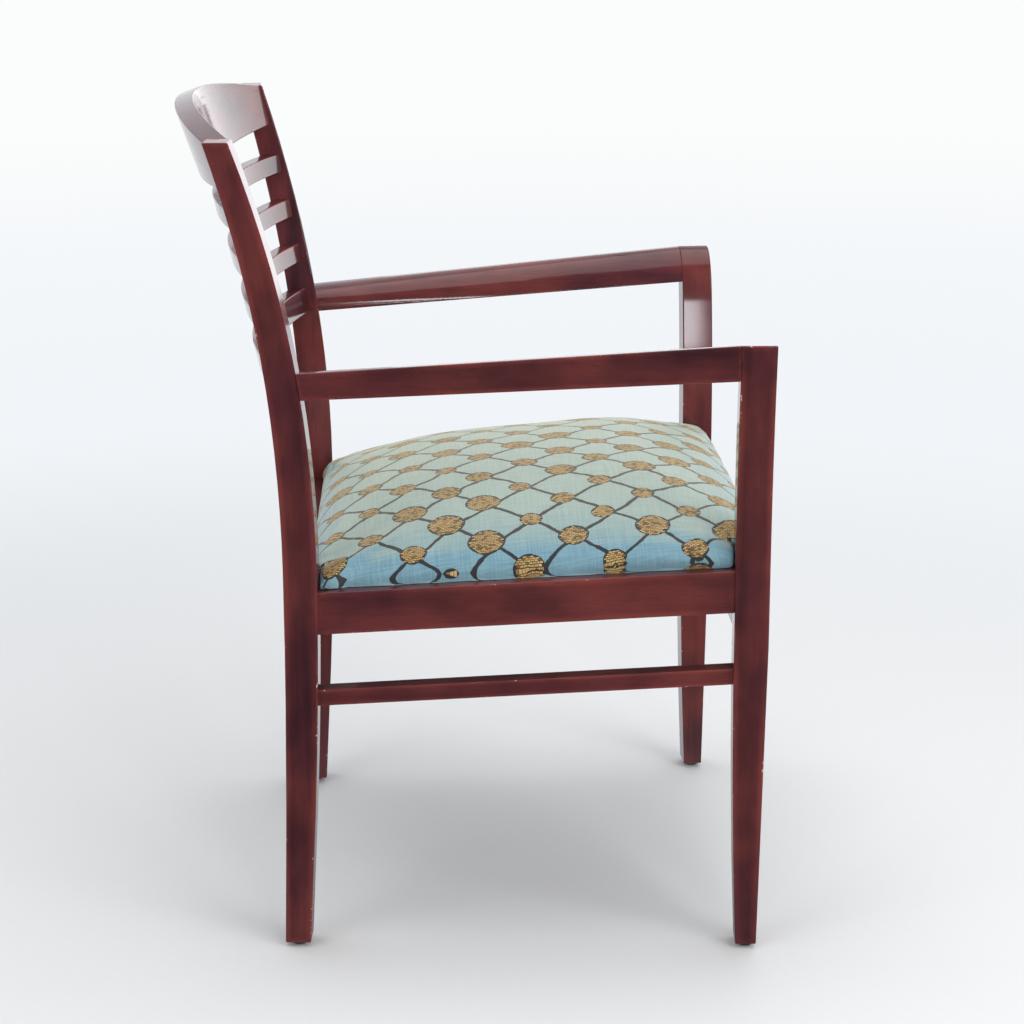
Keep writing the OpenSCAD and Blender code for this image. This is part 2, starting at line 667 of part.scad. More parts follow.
module seat_foam() color("#e8dcae") placed() on_rails() difference() {
    seat_form(cover_t + soft_gap);
    translate([-back_w, -2 * frame_d, -board_t])
        cube([2 * back_w, 4 * frame_d, board_low + 2 * board_t + soft_gap]);
}

dust_edge_gap = 1;
module dust_cloth() color("#222226") placed() difference() {
    on_rails() seat_plate(seat_tuck + cover_turn + dust_edge_gap, board_low - soft_gap - dust_t, dust_t);
    seat_screw_set(2 * fit, 0);
}

module seat_screws() color(steel_tone) placed() seat_screw_set(0, 0);

module corner_block_screws() color(steel_tone) placed() block_screw_set(0, 0);

module rail_dowels() color(block_tone) placed() for (side = sides) {
    rail_dowel_pairs(side, dowel_d / 2, 0);
    cross_dowel_pairs(side, dowel_d / 2, 0);
}

module arm_dowels() color(block_tone) placed() for (side = sides) arm_dowel_pairs(side, dowel_d / 2, 0);

module stretcher_dowels() color(block_tone) placed() for (side = sides) stretcher_dowel_pair(side, dowel_d / 2, 0);

module crest_dowels() color(block_tone) placed() for (side = sides) crest_dowel_pair(side, dowel_d / 2, 0);

// A glide with its nail, under the middle of a foot
glide_edge_share = 0.25;
module glide(end, side) {
    thick = end == 0 ? leg_t : post_t;
    y = end == 0 ? leg_foot_y() : post_foot_y();
    edge = glide_h * glide_edge_share;
    color("#1c1a1a") placed() in_side_frame(side) translate([thick / 2, y, 0]) union() {
        rotate_extrude() polygon([[0, 0], [glide_d / 2 - edge, 0], [glide_d / 2, edge],
            [glide_d / 2, glide_h], [0, glide_h]]);
        cylinder(r = glide_nail_d / 2, h = glide_h + glide_nail_len);
    }
}

back_post("left");  // back_post_left
back_post("right");  // back_post_right
front_leg("left");  // front_leg_left
front_leg("right");  // front_leg_right
arm("left");  // arm_left
arm("right");  // arm_right
crest_rail();
back_slat(1);  // back_slat_1
back_slat(2);  // back_slat_2
back_slat(3);  // back_slat_3
back_slat(4);  // back_slat_4
front_seat_rail();
rear_seat_rail();
side_seat_rail("left");  // side_seat_rail_left
side_seat_rail("right");  // side_seat_rail_right
side_stretcher("left");  // side_stretcher_left
side_stretcher("right");  // side_stretcher_right
corner_block(0, "left");  // corner_block_front_left
corner_block(0, "right");  // corner_block_front_right
corner_block(1, "left");  // corner_block_rear_left
corner_block(1, "right");  // corner_block_rear_right
seat_board();
seat_foam();
seat_cover();
dust_cloth();
seat_screws();
corner_block_screws();
rail_dowels();
arm_dowels();
stretcher_dowels();
crest_dowels();
glide(0, "left");  // glide_front_left
glide(0, "right");  // glide_front_right
glide(1, "left");  // glide_rear_left
glide(1, "right");  // glide_rear_right
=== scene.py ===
"""Dressed model of a ladder-back armchair: a lacquered frame, an upholstered seat and its hardware."""

from __future__ import annotations

import json
import logging
import math
from dataclasses import dataclass, field
from enum import Enum
from typing import Iterable, Sequence

import bmesh
import bpy
from mathutils import Matrix, Vector
from mathutils.bvhtree import BVHTree

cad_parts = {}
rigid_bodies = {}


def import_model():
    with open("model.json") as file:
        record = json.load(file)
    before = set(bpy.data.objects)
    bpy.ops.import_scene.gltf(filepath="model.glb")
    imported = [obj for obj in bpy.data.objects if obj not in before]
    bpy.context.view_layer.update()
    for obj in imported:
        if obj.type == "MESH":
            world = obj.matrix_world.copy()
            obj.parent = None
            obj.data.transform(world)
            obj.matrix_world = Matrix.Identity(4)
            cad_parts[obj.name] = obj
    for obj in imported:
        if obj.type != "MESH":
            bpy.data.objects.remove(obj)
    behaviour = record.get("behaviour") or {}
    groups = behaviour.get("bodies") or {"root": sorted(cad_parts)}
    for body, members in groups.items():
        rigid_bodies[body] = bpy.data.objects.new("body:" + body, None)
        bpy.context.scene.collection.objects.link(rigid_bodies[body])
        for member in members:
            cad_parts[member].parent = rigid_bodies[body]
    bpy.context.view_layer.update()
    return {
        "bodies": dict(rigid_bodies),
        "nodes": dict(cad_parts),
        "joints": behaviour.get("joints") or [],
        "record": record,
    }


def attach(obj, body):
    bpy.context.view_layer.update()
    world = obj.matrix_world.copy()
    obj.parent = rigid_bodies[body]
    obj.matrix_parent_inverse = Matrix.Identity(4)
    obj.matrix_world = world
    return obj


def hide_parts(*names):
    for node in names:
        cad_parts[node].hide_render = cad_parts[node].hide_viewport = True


log = logging.getLogger("armchair")

Colour = tuple[float, float, float, float]
Form = bmesh.types.BMesh
Piece = bpy.types.Object
Objects = dict[str, Piece]
Socket = bpy.types.NodeSocket
Sockets = bpy.types.bpy_prop_collection
SIDES = ("left", "right")
SLATS = tuple(f"back_slat_{i}" for i in range(1, 5))
MERGE = 1e-5
SHARP = math.radians(33)


def tone(code: str) -> Colour:
    """Turn a six-digit sRGB code into a linear colour.

    Args:
        code: The colour as a hash and six hexadecimal digits.

    Returns:
        The linear red, green and blue, with an alpha of 1.
    """
    parts = [int(code[i:i + 2], 16) / 255 for i in (1, 3, 5)]
    line = [c / 12.92 if c <= 0.04045 else ((c + 0.055) / 1.055) ** 2.4 for c in parts]
    return (line[0], line[1], line[2], 1.0)


def clamped(value: float) -> float:
    """Keep a value from 0 to 1."""
    return min(1.0, max(0.0, value))


def paired(*parts: str) -> list[str]:
    """Return the names of parts that the chair has on the left and on the right."""
    return [f"{part}_{side}" for part in parts for side in SIDES]


def extent(spots: Iterable[Vector]) -> tuple[Vector, Vector]:
    """Return the lowest and highest corners of the box round some places."""
    spots = list(spots)
    low, high = (Vector([pick(spot[i] for spot in spots) for i in range(3)]) for pick in (min, max))
    return low, high


def opened(mesh: bpy.types.Mesh, merge: bool = False) -> Form:
    """Open a mesh as a new bmesh.

    Args:
        mesh: The mesh, which stays as it is.
        merge: Whether vertices in one place become one.

    Returns:
        The bmesh.
    """
    shape = bmesh.new()
    shape.from_mesh(mesh)
    if merge:
        bmesh.ops.remove_doubles(shape, verts=shape.verts, dist=MERGE)
    shape.normal_update()
    return shape


def closed(shape: Form, mesh: bpy.types.Mesh) -> None:
    """Write a bmesh into a mesh, and free it."""
    shape.to_mesh(mesh)
    shape.free()


def relax(shape: Form, verts: Sequence[bmesh.types.BMVert], passes: int) -> None:
    """Move vertices half way to their neighbours' middle, some times over."""
    for _ in range(passes):
        bmesh.ops.smooth_vert(shape, verts=verts, factor=0.5, use_axis_x=True, use_axis_y=True,
                              use_axis_z=True)


def settled(piece: Piece) -> bpy.types.Mesh:
    """Return a new mesh of a piece with its modifiers applied."""
    graph = bpy.context.evaluated_depsgraph_get()
    return bpy.data.meshes.new_from_object(piece.evaluated_get(graph))


def new_piece(name: str, shape: Form) -> Piece:
    """Make an object at the origin from a finished bmesh, and free the bmesh.

    Args:
        name: The piece's name.
        shape: The bmesh, with its place in its vertices.

    Returns:
        The new object, linked to the scene.
    """
    mesh = bpy.data.meshes.new(name)
    closed(shape, mesh)
    piece = bpy.data.objects.new(name, mesh)
    bpy.context.scene.collection.objects.link(piece)
    return piece


def seat_piece(piece: Piece, material: bpy.types.Material, slot: str, *nodes: str) -> None:
    """Finish a piece, let it ride on the chair and stand for its CAD nodes, and log its material slot.

    Args:
        piece: The finished piece.
        material: Its finish.
        slot: The record's material slot.
        *nodes: The CAD nodes that the piece stands for.
    """
    piece.data.materials.append(material)
    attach(piece, "root")
    if nodes:
        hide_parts(*nodes)
    log.info("%s: %d faces, slot %s", piece.name, len(piece.data.polygons), slot)


class Graph:
    """A node tree under construction."""

    def __init__(self, tree: bpy.types.NodeTree) -> None:
        """Keep the node tree of a material, a world or a group, and empty it."""
        self.tree = tree
        tree.nodes.clear()

    def fill(self, made: bpy.types.Node, inputs: dict) -> bpy.types.Node:
        """Set or link a node's inputs.

        Args:
            made: The node.
            inputs: Values or output sockets by input name or index.

        Returns:
            The same node.
        """
        for key, value in inputs.items():
            if isinstance(value, Socket):
                self.tree.links.new(value, made.inputs[key])
            else:
                made.inputs[key].default_value = value
        return made

    def node(self, kind: str, inputs: dict | None = None, **settings: object) -> bpy.types.Node:
        """Add a node.

        Args:
            kind: The node's type name, without the leading ShaderNode.
            inputs: Values or output sockets by input name or index.
            **settings: Properties of the node.

        Returns:
            The new node.
        """
        made = self.tree.nodes.new(kind if kind.startswith("Node") else "ShaderNode" + kind)
        for key, value in settings.items():
            setattr(made, key, value)
        return self.fill(made, inputs or {})

    def math(self, operation: str, *values: object, clamp: bool = False) -> Socket:
        """Add a Math node with numbers or sockets, kept from 0 to 1 if asked, and return its output."""
        return self.node("Math", dict(enumerate(values)), operation=operation, use_clamp=clamp).outputs[0]

    def times(self, first: object, second: object) -> Socket:
        """Multiply two values."""
        return self.math("MULTIPLY", first, second)

    def total(self, start: object, *parts: tuple[Socket, object]) -> Socket:
        """Add up values.

        Args:
            start: What the sum starts from.
            *parts: The values, each with its weight.

        Returns:
            The sum's socket.
        """
        for value, weight in parts:
            start = self.math("MULTIPLY_ADD", value, weight, start)
        return start

    def vector(self, operation: str, *values: object) -> Socket:
        """Add a Vector Math node with vectors or sockets, and return its vector output."""
        return self.node("VectorMath", dict(enumerate(values)), operation=operation).outputs[0]

    def joined(self, *parts: Socket) -> Socket:
        """Join values to a vector."""
        return self.node("CombineXYZ", dict(enumerate(parts))).outputs[0]

    def split(self, place: Socket) -> Sockets:
        """Split a vector into its values."""
        return self.node("SeparateXYZ", {0: place}).outputs

    def own_place(self) -> Socket:
        """Return the place in the object's own space."""
        return self.node("TexCoord").outputs["Object"]

    def attribute(self, name: str) -> Socket:
        """Return a piece's attribute as a value."""
        return self.node("Attribute", attribute_name=name).outputs["Fac"]

    def mix(self, factor: object, first: object, second: object) -> Socket:
        """Mix two colours or sockets, the factor being the second one's share."""
        return self.node("Mix", {0: factor, 6: first, 7: second}, data_type="RGBA").outputs[2]

    def layered(self, colour: object, *layers: tuple[Socket, object]) -> Socket:
        """Lay colours over a colour.

        Args:
            colour: The lowest colour or socket.
            *layers: The share and the colour of each layer, the lowest first.

        Returns:
            The mixed colour's socket.
        """
        for share, layer in layers:
            colour = self.mix(share, colour, layer)
        return colour

    def step(self, value: object, low: float, high: float, smooth: bool = True) -> Socket:
        """Map a value from low..high to 0..1, clamped.

        Args:
            value: The value's socket.
            low: The value that gives 0.
            high: The value that gives 1.
            smooth: Whether the ramp eases in and out.

        Returns:
            The ramp's output socket.
        """
        kind = "SMOOTHSTEP" if smooth else "LINEAR"
        made = self.node("MapRange", {0: value, 1: low, 2: high, 3: 0.0, 4: 1.0}, interpolation_type=kind)
        return made.outputs[0]

    def noise(self, place: Socket, scale: float | tuple[float, float, float], detail: float = 2.0,
              rough: float = 0.5) -> Socket:
        """Add a noise texture.

        Args:
            place: The vector's socket.
            scale: The noise's scale, or its scale along each axis.
            detail: The noise's detail.
            rough: The noise's roughness.

        Returns:
            The noise's value socket.
        """
        if isinstance(scale, tuple):
            place, scale = self.vector("MULTIPLY", place, scale), 1.0
        inputs = {"Vector": place, "Scale": scale, "Detail": detail, "Roughness": rough}
        return self.node("TexNoise", inputs).outputs[0]

    def drift(self, place: Socket, scale: float | tuple[float, float, float], detail: float = 1.0) -> Socket:
        """Add a noise texture, and return its colour as a vector."""
        return self.noise(place, scale, detail).node.outputs[1]

    def bump(self, height: Socket, strength: float, distance: float) -> Socket:
        """Turn a height into a normal."""
        return self.node("Bump", {"Strength": strength, "Distance": distance, "Height": height}).outputs[0]


@dataclass(frozen=True)
class GroupPort:
    """One input or output of a shader group."""

    name: str
    kind: str = "NodeSocketFloat"
    value: object = None


class ShaderGroup:
    """An effect shared by several materials, built once as a node group."""

    name = "effect"
    inputs: tuple[GroupPort, ...] = ()
    outputs: tuple[GroupPort, ...] = ()

    def tree(self) -> bpy.types.NodeTree:
        """Return the group's tree, building it on first use."""
        found = bpy.data.node_groups.get(self.name)
        if found is not None:
            return found
        tree = bpy.data.node_groups.new(self.name, "ShaderNodeTree")
        graph = Graph(tree)
        for way, ports in (("INPUT", self.inputs), ("OUTPUT", self.outputs)):
            for port in ports:
                made = tree.interface.new_socket(name=port.name, in_out=way, socket_type=port.kind)
                if port.value is not None:
                    made.default_value = port.value
        given = graph.node("NodeGroupInput").outputs
        result = graph.node("NodeGroupOutput")
        graph.fill(result, self.build(graph, given))
        return tree

    def build(self, graph: Graph, given: Sockets) -> dict[str, Socket]:
        """Build the group's nodes.

        Args:
            graph: The group's graph.
            given: The group's inputs.

        Returns:
            The socket that feeds each output, by name.
        """
        raise NotImplementedError

    def place(self, graph: Graph, inputs: dict) -> Sockets:
        """Place the group in a material's graph.

        Args:
            graph: The material's graph.
            inputs: Values or sockets by input name.

        Returns:
            The group's outputs.
        """
        made = graph.node("Group")
        made.node_tree = self.tree()
        return graph.fill(made, inputs).outputs


class WoodFigure(ShaderGroup):
    """Grain whose fibres run along local Z: broad figure, fine fibres and open pores."""

    name = "wood_figure"
    inputs = (GroupPort("Vector", "NodeSocketVector"), GroupPort("Spread", value=1.0))
    outputs = (GroupPort("Figure"), GroupPort("Fibre"), GroupPort("Pore"), GroupPort("Mottle"))

    def build(self, graph: Graph, given: Sockets) -> dict[str, Socket]:
        """Build the grain from stretched noises.

        Args:
            graph: The group's graph.
            given: The group's inputs.

        Returns:
            The four grain values.
        """
        scaled = graph.node("VectorMath", {0: given["Vector"], "Scale": given["Spread"]}, operation="SCALE")
        place = scaled.outputs[0]
        sway = graph.vector("MULTIPLY", graph.drift(place, (3.0, 3.0, 1.2), 2.0), (0.02, 0.02, 0.0))
        bent = graph.vector("ADD", place, sway)
        return {
            "Figure": graph.step(graph.noise(bent, (55.0, 55.0, 1.8), 4.0, 0.6), 0.3, 0.72),
            "Fibre": graph.step(graph.noise(bent, (420.0, 420.0, 9.0), 3.0, 0.7), 0.25, 0.75, smooth=False),
            "Pore": graph.step(graph.noise(bent, (1500.0, 1500.0, 45.0), 1.0), 0.6, 0.74),
            "Mottle": graph.step(graph.noise(place, (14.0, 14.0, 7.0), 3.0, 0.55), 0.3, 0.7),
        }


class EdgeWear(ShaderGroup):
    """Rubbed and nicked edges, from a piece's edge attribute broken up by noise."""

    name = "edge_wear"
    inputs = (GroupPort("Vector", "NodeSocketVector"), GroupPort("Edge"), GroupPort("Amount", value=0.3))
    outputs = (GroupPort("Rub"), GroupPort("Nick"))

    def build(self, graph: Graph, given: Sockets) -> dict[str, Socket]:
        """Build the masks.

        Args:
            graph: The group's graph.
            given: The group's inputs.

        Returns:
            The rubbed and the nicked masks.
        """
        soft = graph.noise(given["Vector"], 26.0, 4.0, 0.65)
        fine = graph.noise(given["Vector"], 210.0, 2.0, 0.6)
        rub = graph.math("SUBTRACT", soft, graph.math("SUBTRACT", 0.82, given["Amount"]))
        nick = graph.times(graph.step(fine, 0.635, 0.675), graph.step(soft, 0.545, 0.6))
        return {"Rub": graph.times(graph.math("MULTIPLY", rub, 6.0, clamp=True), given["Edge"]),
                "Nick": graph.times(nick, given["Edge"])}


class Handling(ShaderGroup):
    """Hairline scratches and a soft smear that every handled surface has."""

    name = "handling"
    inputs = (GroupPort("Vector", "NodeSocketVector"), GroupPort("Density", value=0.5))
    outputs = (GroupPort("Scratch"), GroupPort("Smear"))

    def build(self, graph: Graph, given: Sockets) -> dict[str, Socket]:
        """Build the scratches in two slanted directions.

        Args:
            graph: The group's graph.
            given: The group's inputs.

        Returns:
            The scratch and smear masks.
        """
        place = given["Vector"]
        lines = []
        for angle, shift in ((0.6, 3.1), (-0.9, 7.7)):
            turned = graph.node("Mapping", {0: place, 1: (shift, shift, 0.0), 2: (angle, angle * 0.7, 0.3),
                                            3: (9.0, 9.0, 260.0)}).outputs[0]
            lines.append(graph.step(graph.noise(turned, 1.0, 1.0), 0.69, 0.72))
        sparse = graph.step(graph.noise(place, 11.0, 2.0), 0.5, 0.6)
        scratch = graph.times(graph.math("MAXIMUM", *lines), sparse)
        return {"Scratch": graph.times(scratch, given["Density"]), "Smear": graph.noise(place, 7.0, 4.0, 0.6)}


class Weave(ShaderGroup):
    """Plain weave: crossing threads, with thicker slubs along them, on a map in metres."""

    name = "weave"
    inputs = (GroupPort("Vector", "NodeSocketVector"), GroupPort("Threads", value=900.0))
    outputs = (GroupPort("Height"), GroupPort("Slub"))

    def build(self, graph: Graph, given: Sockets) -> dict[str, Socket]:
        """Build the threads from two crossed waves.

        Args:
            graph: The group's graph.
            given: The group's inputs.

        Returns:
            The weave's height and its slubs.
        """
        place = given["Vector"]
        turns = graph.times(given["Threads"], math.pi)
        axes = graph.split(place)
        waves = [graph.math("SINE", graph.times(axes[i], turns)) for i in (0, 1)]
        threads = [graph.noise(place, scale) for scale in ((620.0, 22.0, 1.0), (22.0, 620.0, 1.0))]
        slub = graph.times(graph.math("ADD", *threads), 0.5)
        return {"Height": graph.total(0.5, (graph.times(*waves), 0.5)), "Slub": graph.step(slub, 0.36, 0.64)}


class GrainWay(Enum):
    """The way a board's grain runs: the turn that brings it to local Z, and the axis of its butted ends."""

    UPRIGHT = ((0.0, 0.0, 0.0), None)
    ACROSS = ((0.0, math.pi / 2, 0.0), 0)
    DEEP = ((math.pi / 2, 0.0, 0.0), 1)

    def grain(self, graph: Graph, place: Socket, spread: float = 1.0) -> Sockets:
        """Place the wood figure along the grain, as many times finer as the spread says."""
        turned = graph.node("Mapping", {0: place, 2: self.value[0]}).outputs[0]
        return WoodFigure().place(graph, {"Vector": turned, "Spread": spread})


def finish_of(name: str) -> tuple[bpy.types.Material, Graph, bpy.types.Node]:
    """Start a material with a Principled shader.

    Args:
        name: The material's name.

    Returns:
        The material, its graph, and the shader node.
    """
    material = bpy.data.materials.new(name)
    material.use_nodes = True
    graph = Graph(material.node_tree)
    shader = graph.node("BsdfPrincipled")
    graph.node("OutputMaterial", {"Surface": shader.outputs[0]})
    return material, graph, shader


@dataclass(frozen=True)
class Lacquer:
    """A shaded red-brown stain under satin lacquer, worn at the edges."""

    name: str
    way: GrainWay
    deep: Colour = tone("#2d131a")
    body: Colour = tone("#5f2830")
    warm: Colour = tone("#8e4239")
    bare: Colour = tone("#d6b7a0")
    coat_rough: float = 0.09
    coat_bend: float = 1.42
    under_shine: float = 0.08

    def material(self) -> bpy.types.Material:
        """Build the lacquer's material."""
        material, graph, shader = finish_of(self.name)
        place = graph.own_place()
        grain = self.way.grain(graph, place)
        wear = EdgeWear().place(graph, {"Vector": place, "Edge": graph.attribute("edge"), "Amount": 0.3})
        hands = Handling().place(graph, {"Vector": place, "Density": 0.8})
        cloud = graph.step(graph.noise(place, 6.5, 3.0, 0.55), 0.36, 0.64)
        shade = graph.times(graph.attribute("rim"), graph.total(0.62, (grain["Mottle"], -0.3)))
        colour = graph.layered(
            graph.mix(grain["Figure"], self.deep, self.body),
            (graph.times(graph.math("ADD", grain["Mottle"], cloud), 0.36), self.warm),
            (graph.times(grain["Fibre"], 0.2), self.deep),
            (graph.times(grain["Pore"], 0.4), self.deep),
            (shade, self.deep),
            (graph.times(wear["Rub"], 0.55), self.warm),
            (graph.times(wear["Nick"], 0.9), self.bare),
        )
        wave = graph.times(graph.noise(place, 38.0), 0.9)
        height = graph.total(wave, (grain["Pore"], -0.12), (grain["Fibre"], 0.05), (wear["Nick"], -1.2),
                             (hands["Scratch"], -0.15))
        graph.fill(shader, {
            "Base Color": colour,
            "Roughness": graph.total(0.3, (hands["Smear"], 0.22), (wear["Nick"], 0.4)),
            "Coat Weight": graph.total(0.95, (hands["Scratch"], -0.35), (wear["Rub"], -0.35)),
            "Coat Roughness": self.coat_rough,
            "Coat IOR": self.coat_bend,
            "Specular IOR Level": self.under_shine,
            "Normal": graph.bump(height, 0.28, 0.0006),
        })
        return material


@dataclass(frozen=True)
class RawWood:
    """Unfinished wood, such as blocks, plywood and dowels."""

    name: str
    way: GrainWay
    light: Colour
    dark: Colour

    def material(self) -> bpy.types.Material:
        """Build the raw wood's material."""
        material, graph, shader = finish_of(self.name)
        grain = self.way.grain(graph, graph.own_place(), 1.3)
        colour = graph.mix(grain["Figure"], self.dark, self.light)
        height = graph.total(grain["Fibre"], (grain["Pore"], -0.6))
        graph.fill(shader, {
            "Base Color": graph.mix(graph.times(grain["Pore"], 0.5), colour, self.dark),
            "Roughness": graph.total(0.68, (grain["Mottle"], 0.15)),
            "Normal": graph.bump(height, 0.4, 0.0003),
        })
        return material


@dataclass(frozen=True)
class StitchedCloth:
    """Satin-faced upholstery cloth with a wavy trellis and stitched ovals at its crossings.

    The lengths are in metres on the cloth's own map. The trellis is a lattice with alternate columns shifted
    half a repeat.
    """

    across: float = 0.034
    along: float = 0.042
    line: float = 0.0021
    oval_across: float = 0.0150
    oval_along: float = 0.0175
    stitch_long: float = 0.0037
    stitch_tall: float = 0.0021
    # Painted sheen and shade: the crown colours are paler and greener, as the cloth looks where it faces up
    # into the light, and the side colours are bluer and darker, as it looks where it turns away. How steeply
    # the cloth faces mixes them.
    crown: Colour = tone("#a2b1a8")
    crown_dark_with_painted_sheen: Colour = tone("#8ea49d")
    side: Colour = tone("#83a9b5")
    side_dark_with_painted_shade: Colour = tone("#6a92a2")
    ink: Colour = tone("#282b2f")
    gold: Colour = tone("#b48d50")
    gold_pale: Colour = tone("#d9bc82")
    gold_deep: Colour = tone("#7c5e35")
    # Painted shade between the raised stitches.
    gap: Colour = tone("#2c2620")

    def lattice(self, graph: Graph, spot: Socket) -> tuple[list[Socket], list[Socket]]:
        """Turn a place on the cloth into its place in the slanted lattice and its nearest crossing.

        Args:
            graph: The material's graph.
            spot: The place on the cloth.

        Returns:
            The two values of the lattice place, and of the whole-numbered crossing.
        """
        axes = graph.split(spot)
        one = graph.times(axes[0], 0.5 / self.across)
        two = graph.times(axes[1], 0.5 / self.along)
        place = graph.joined(graph.math("ADD", one, two), graph.math("SUBTRACT", one, two))
        crossing = graph.vector("FLOOR", graph.vector("ADD", place, (0.5, 0.5, 0.0)))
        return list(graph.split(place))[:2], list(graph.split(crossing))[:2]

    def trellis(self, graph: Graph, spot: Socket) -> Socket:
        """Build the mask of the trellis lines, which waver in course and width.

        Args:
            graph: The material's graph.
            spot: The place on the cloth.

        Returns:
            The mask's socket.
        """
        bent = graph.vector("MULTIPLY_ADD", graph.drift(spot, 26.0), (0.011, 0.011, 0.0), spot)
        pairs = zip(*self.lattice(graph, bent))
        off = [graph.math("ABSOLUTE", graph.math("SUBTRACT", *pair)) for pair in pairs]
        per_metre = 0.5 * math.hypot(1 / self.across, 1 / self.along)
        near = graph.math("DIVIDE", graph.math("MINIMUM", *off), per_metre)
        width = graph.total(self.line * 0.4, (graph.noise(spot, 130.0), self.line * 1.2))
        return graph.math("MULTIPLY", graph.math("SUBTRACT", width, near), 4000.0, clamp=True)

    def ovals(self, graph: Graph, spot: Socket) -> dict[str, Socket]:
        """Build the stitched ovals, whose outlines step from stitch to stitch.

        Args:
            graph: The material's graph.
            spot: The place on the cloth.

        Returns:
            The masks of the ovals and their dark outline, each stitch's height, and its own shade.
        """
        crossing = self.lattice(graph, spot)[1]
        dice = graph.node("TexWhiteNoise", {"Vector": graph.joined(*crossing)}, noise_dimensions="3D")
        chance, lot_of_three = dice.outputs
        middle = graph.joined(graph.times(graph.math("ADD", *crossing), self.across),
                              graph.times(graph.math("SUBTRACT", *crossing), self.along))
        nudge = graph.vector("MULTIPLY_ADD", lot_of_three, (0.006, 0.010, 0.0), (-0.003, -0.005, 0.0))
        local = graph.vector("SUBTRACT", graph.vector("SUBTRACT", spot, middle), nudge)
        local = graph.vector("MULTIPLY_ADD", graph.drift(spot, 210.0), (0.0012, 0.0016, 0.0), local)
        axes = graph.split(local)
        rows = graph.math("DIVIDE", axes[0], self.stitch_tall)
        row = graph.math("FLOOR", rows)
        shift = graph.times(graph.math("MODULO", row, 2.0), 0.5)
        files = graph.math("ADD", graph.math("DIVIDE", axes[1], self.stitch_long), shift)
        file = graph.math("FLOOR", files)
        stitch = graph.joined(row, file, chance)
        lot = graph.node("TexWhiteNoise", {"Vector": stitch}, noise_dimensions="3D").outputs[0]
        mid_row = graph.times(graph.math("ADD", row, 0.5), self.stitch_tall)
        mid_file = graph.times(graph.math("SUBTRACT", graph.math("ADD", file, 0.5), shift), self.stitch_long)
        size = graph.total(0.62, (chance, 0.45))
        stepped = self.reach(graph, mid_row, mid_file, size)
        thread = graph.times(graph.step(graph.math("PINGPONG", rows, 0.5), 0.08, 0.22),
                             graph.step(graph.math("PINGPONG", files, 0.5), 0.03, 0.1))
        return {
            "inside": graph.math("LESS_THAN", graph.total(stepped, (lot, 0.14)), 1.0),
            "outline": graph.math("LESS_THAN", self.reach(graph, axes[0], axes[1], size), 1.16),
            "thread": thread,
            "lot": lot,
        }

    def reach(self, graph: Graph, across: Socket, along: Socket, size: Socket) -> Socket:
        """Measure how far a place lies from an oval's middle, 1 being its outline.

        Args:
            graph: The material's graph.
            across: The distance from the middle across the cloth.
            along: The distance from the middle along the cloth.
            size: The oval's size as a share of the full one.

        Returns:
            The measure's socket.
        """
        parts = []
        for value, radius in ((across, self.oval_across), (along, self.oval_along)):
            share = graph.math("DIVIDE", graph.math("ABSOLUTE", value), graph.times(size, radius))
            parts.append(graph.math("POWER", share, 1.8))
        return graph.math("ADD", *parts)

    def material(self) -> bpy.types.Material:
        """Build the cloth's material."""
        material, graph, shader = finish_of("seat_cloth")
        spot = graph.node("UVMap", uv_map="cloth").outputs[0]
        weave = Weave().place(graph, {"Vector": spot, "Threads": 1100.0})
        hands = Handling().place(graph, {"Vector": spot, "Density": 0.2})
        lines = self.trellis(graph, spot)
        ovals = self.ovals(graph, spot)
        # Painted sheen and shade: this attribute is 0 where the cloth faces up, taking the paler crown
        # colours, and 1 where it faces steeply, taking the bluer side colours.
        painted_shade = graph.attribute("painted_shade")
        dark = graph.mix(painted_shade, self.crown_dark_with_painted_sheen, self.side_dark_with_painted_shade)
        gold = graph.layered(
            graph.mix(ovals["lot"], self.gold, self.gold_pale),
            (graph.step(ovals["lot"], 0.72, 0.8), self.gold_deep),
        )
        colour = graph.layered(
            graph.mix(weave["Slub"], dark, graph.mix(painted_shade, self.crown, self.side)),
            (graph.times(hands["Smear"], 0.3), dark),
            (graph.math("MAXIMUM", lines, ovals["outline"]), self.ink),
            # The stitches' edges take the dark colour as painted shade in the recesses between them.
            (ovals["inside"], graph.mix(ovals["thread"], self.gap, gold)),
        )
        raised = graph.times(ovals["inside"], graph.total(0.3, (ovals["thread"], 0.7)))
        height = graph.total(graph.times(weave["Height"], 0.12), (lines, 0.35), (raised, 1.0))
        graph.fill(shader, {
            "Base Color": colour,
            "Roughness": graph.total(0.62, (weave["Slub"], -0.1), (ovals["inside"], 0.12)),
            "Sheen Weight": 0.45,
            "Sheen Roughness": 0.5,
            "Sheen Tint": tone("#fff3d0"),
            "Specular IOR Level": 0.35,
            "Normal": graph.bump(height, 0.7, 0.0007),
        })
        return material


@dataclass(frozen=True)
class DustFelt:
    """Black non-woven cloth, thin and faintly fibrous."""

    dark: Colour = tone("#141417")
    fibre: Colour = tone("#2b2b30")

    def material(self) -> bpy.types.Material:
        """Build the felt's material."""
        material, graph, shader = finish_of("dust_felt")
        place = graph.own_place()
        strands = graph.noise(place, (900.0, 260.0, 900.0), 3.0, 0.7)
        cloud = graph.noise(place, 34.0, 3.0)
        fleck = graph.total(graph.times(graph.step(strands, 0.48, 0.7), 0.6), (cloud, 0.25))
        graph.fill(shader, {
            "Base Color": graph.mix(fleck, self.dark, self.fibre),
            "Roughness": graph.total(0.82, (cloud, 0.12)),
            "Normal": graph.bump(strands, 0.5, 0.0004),
        })
        return material


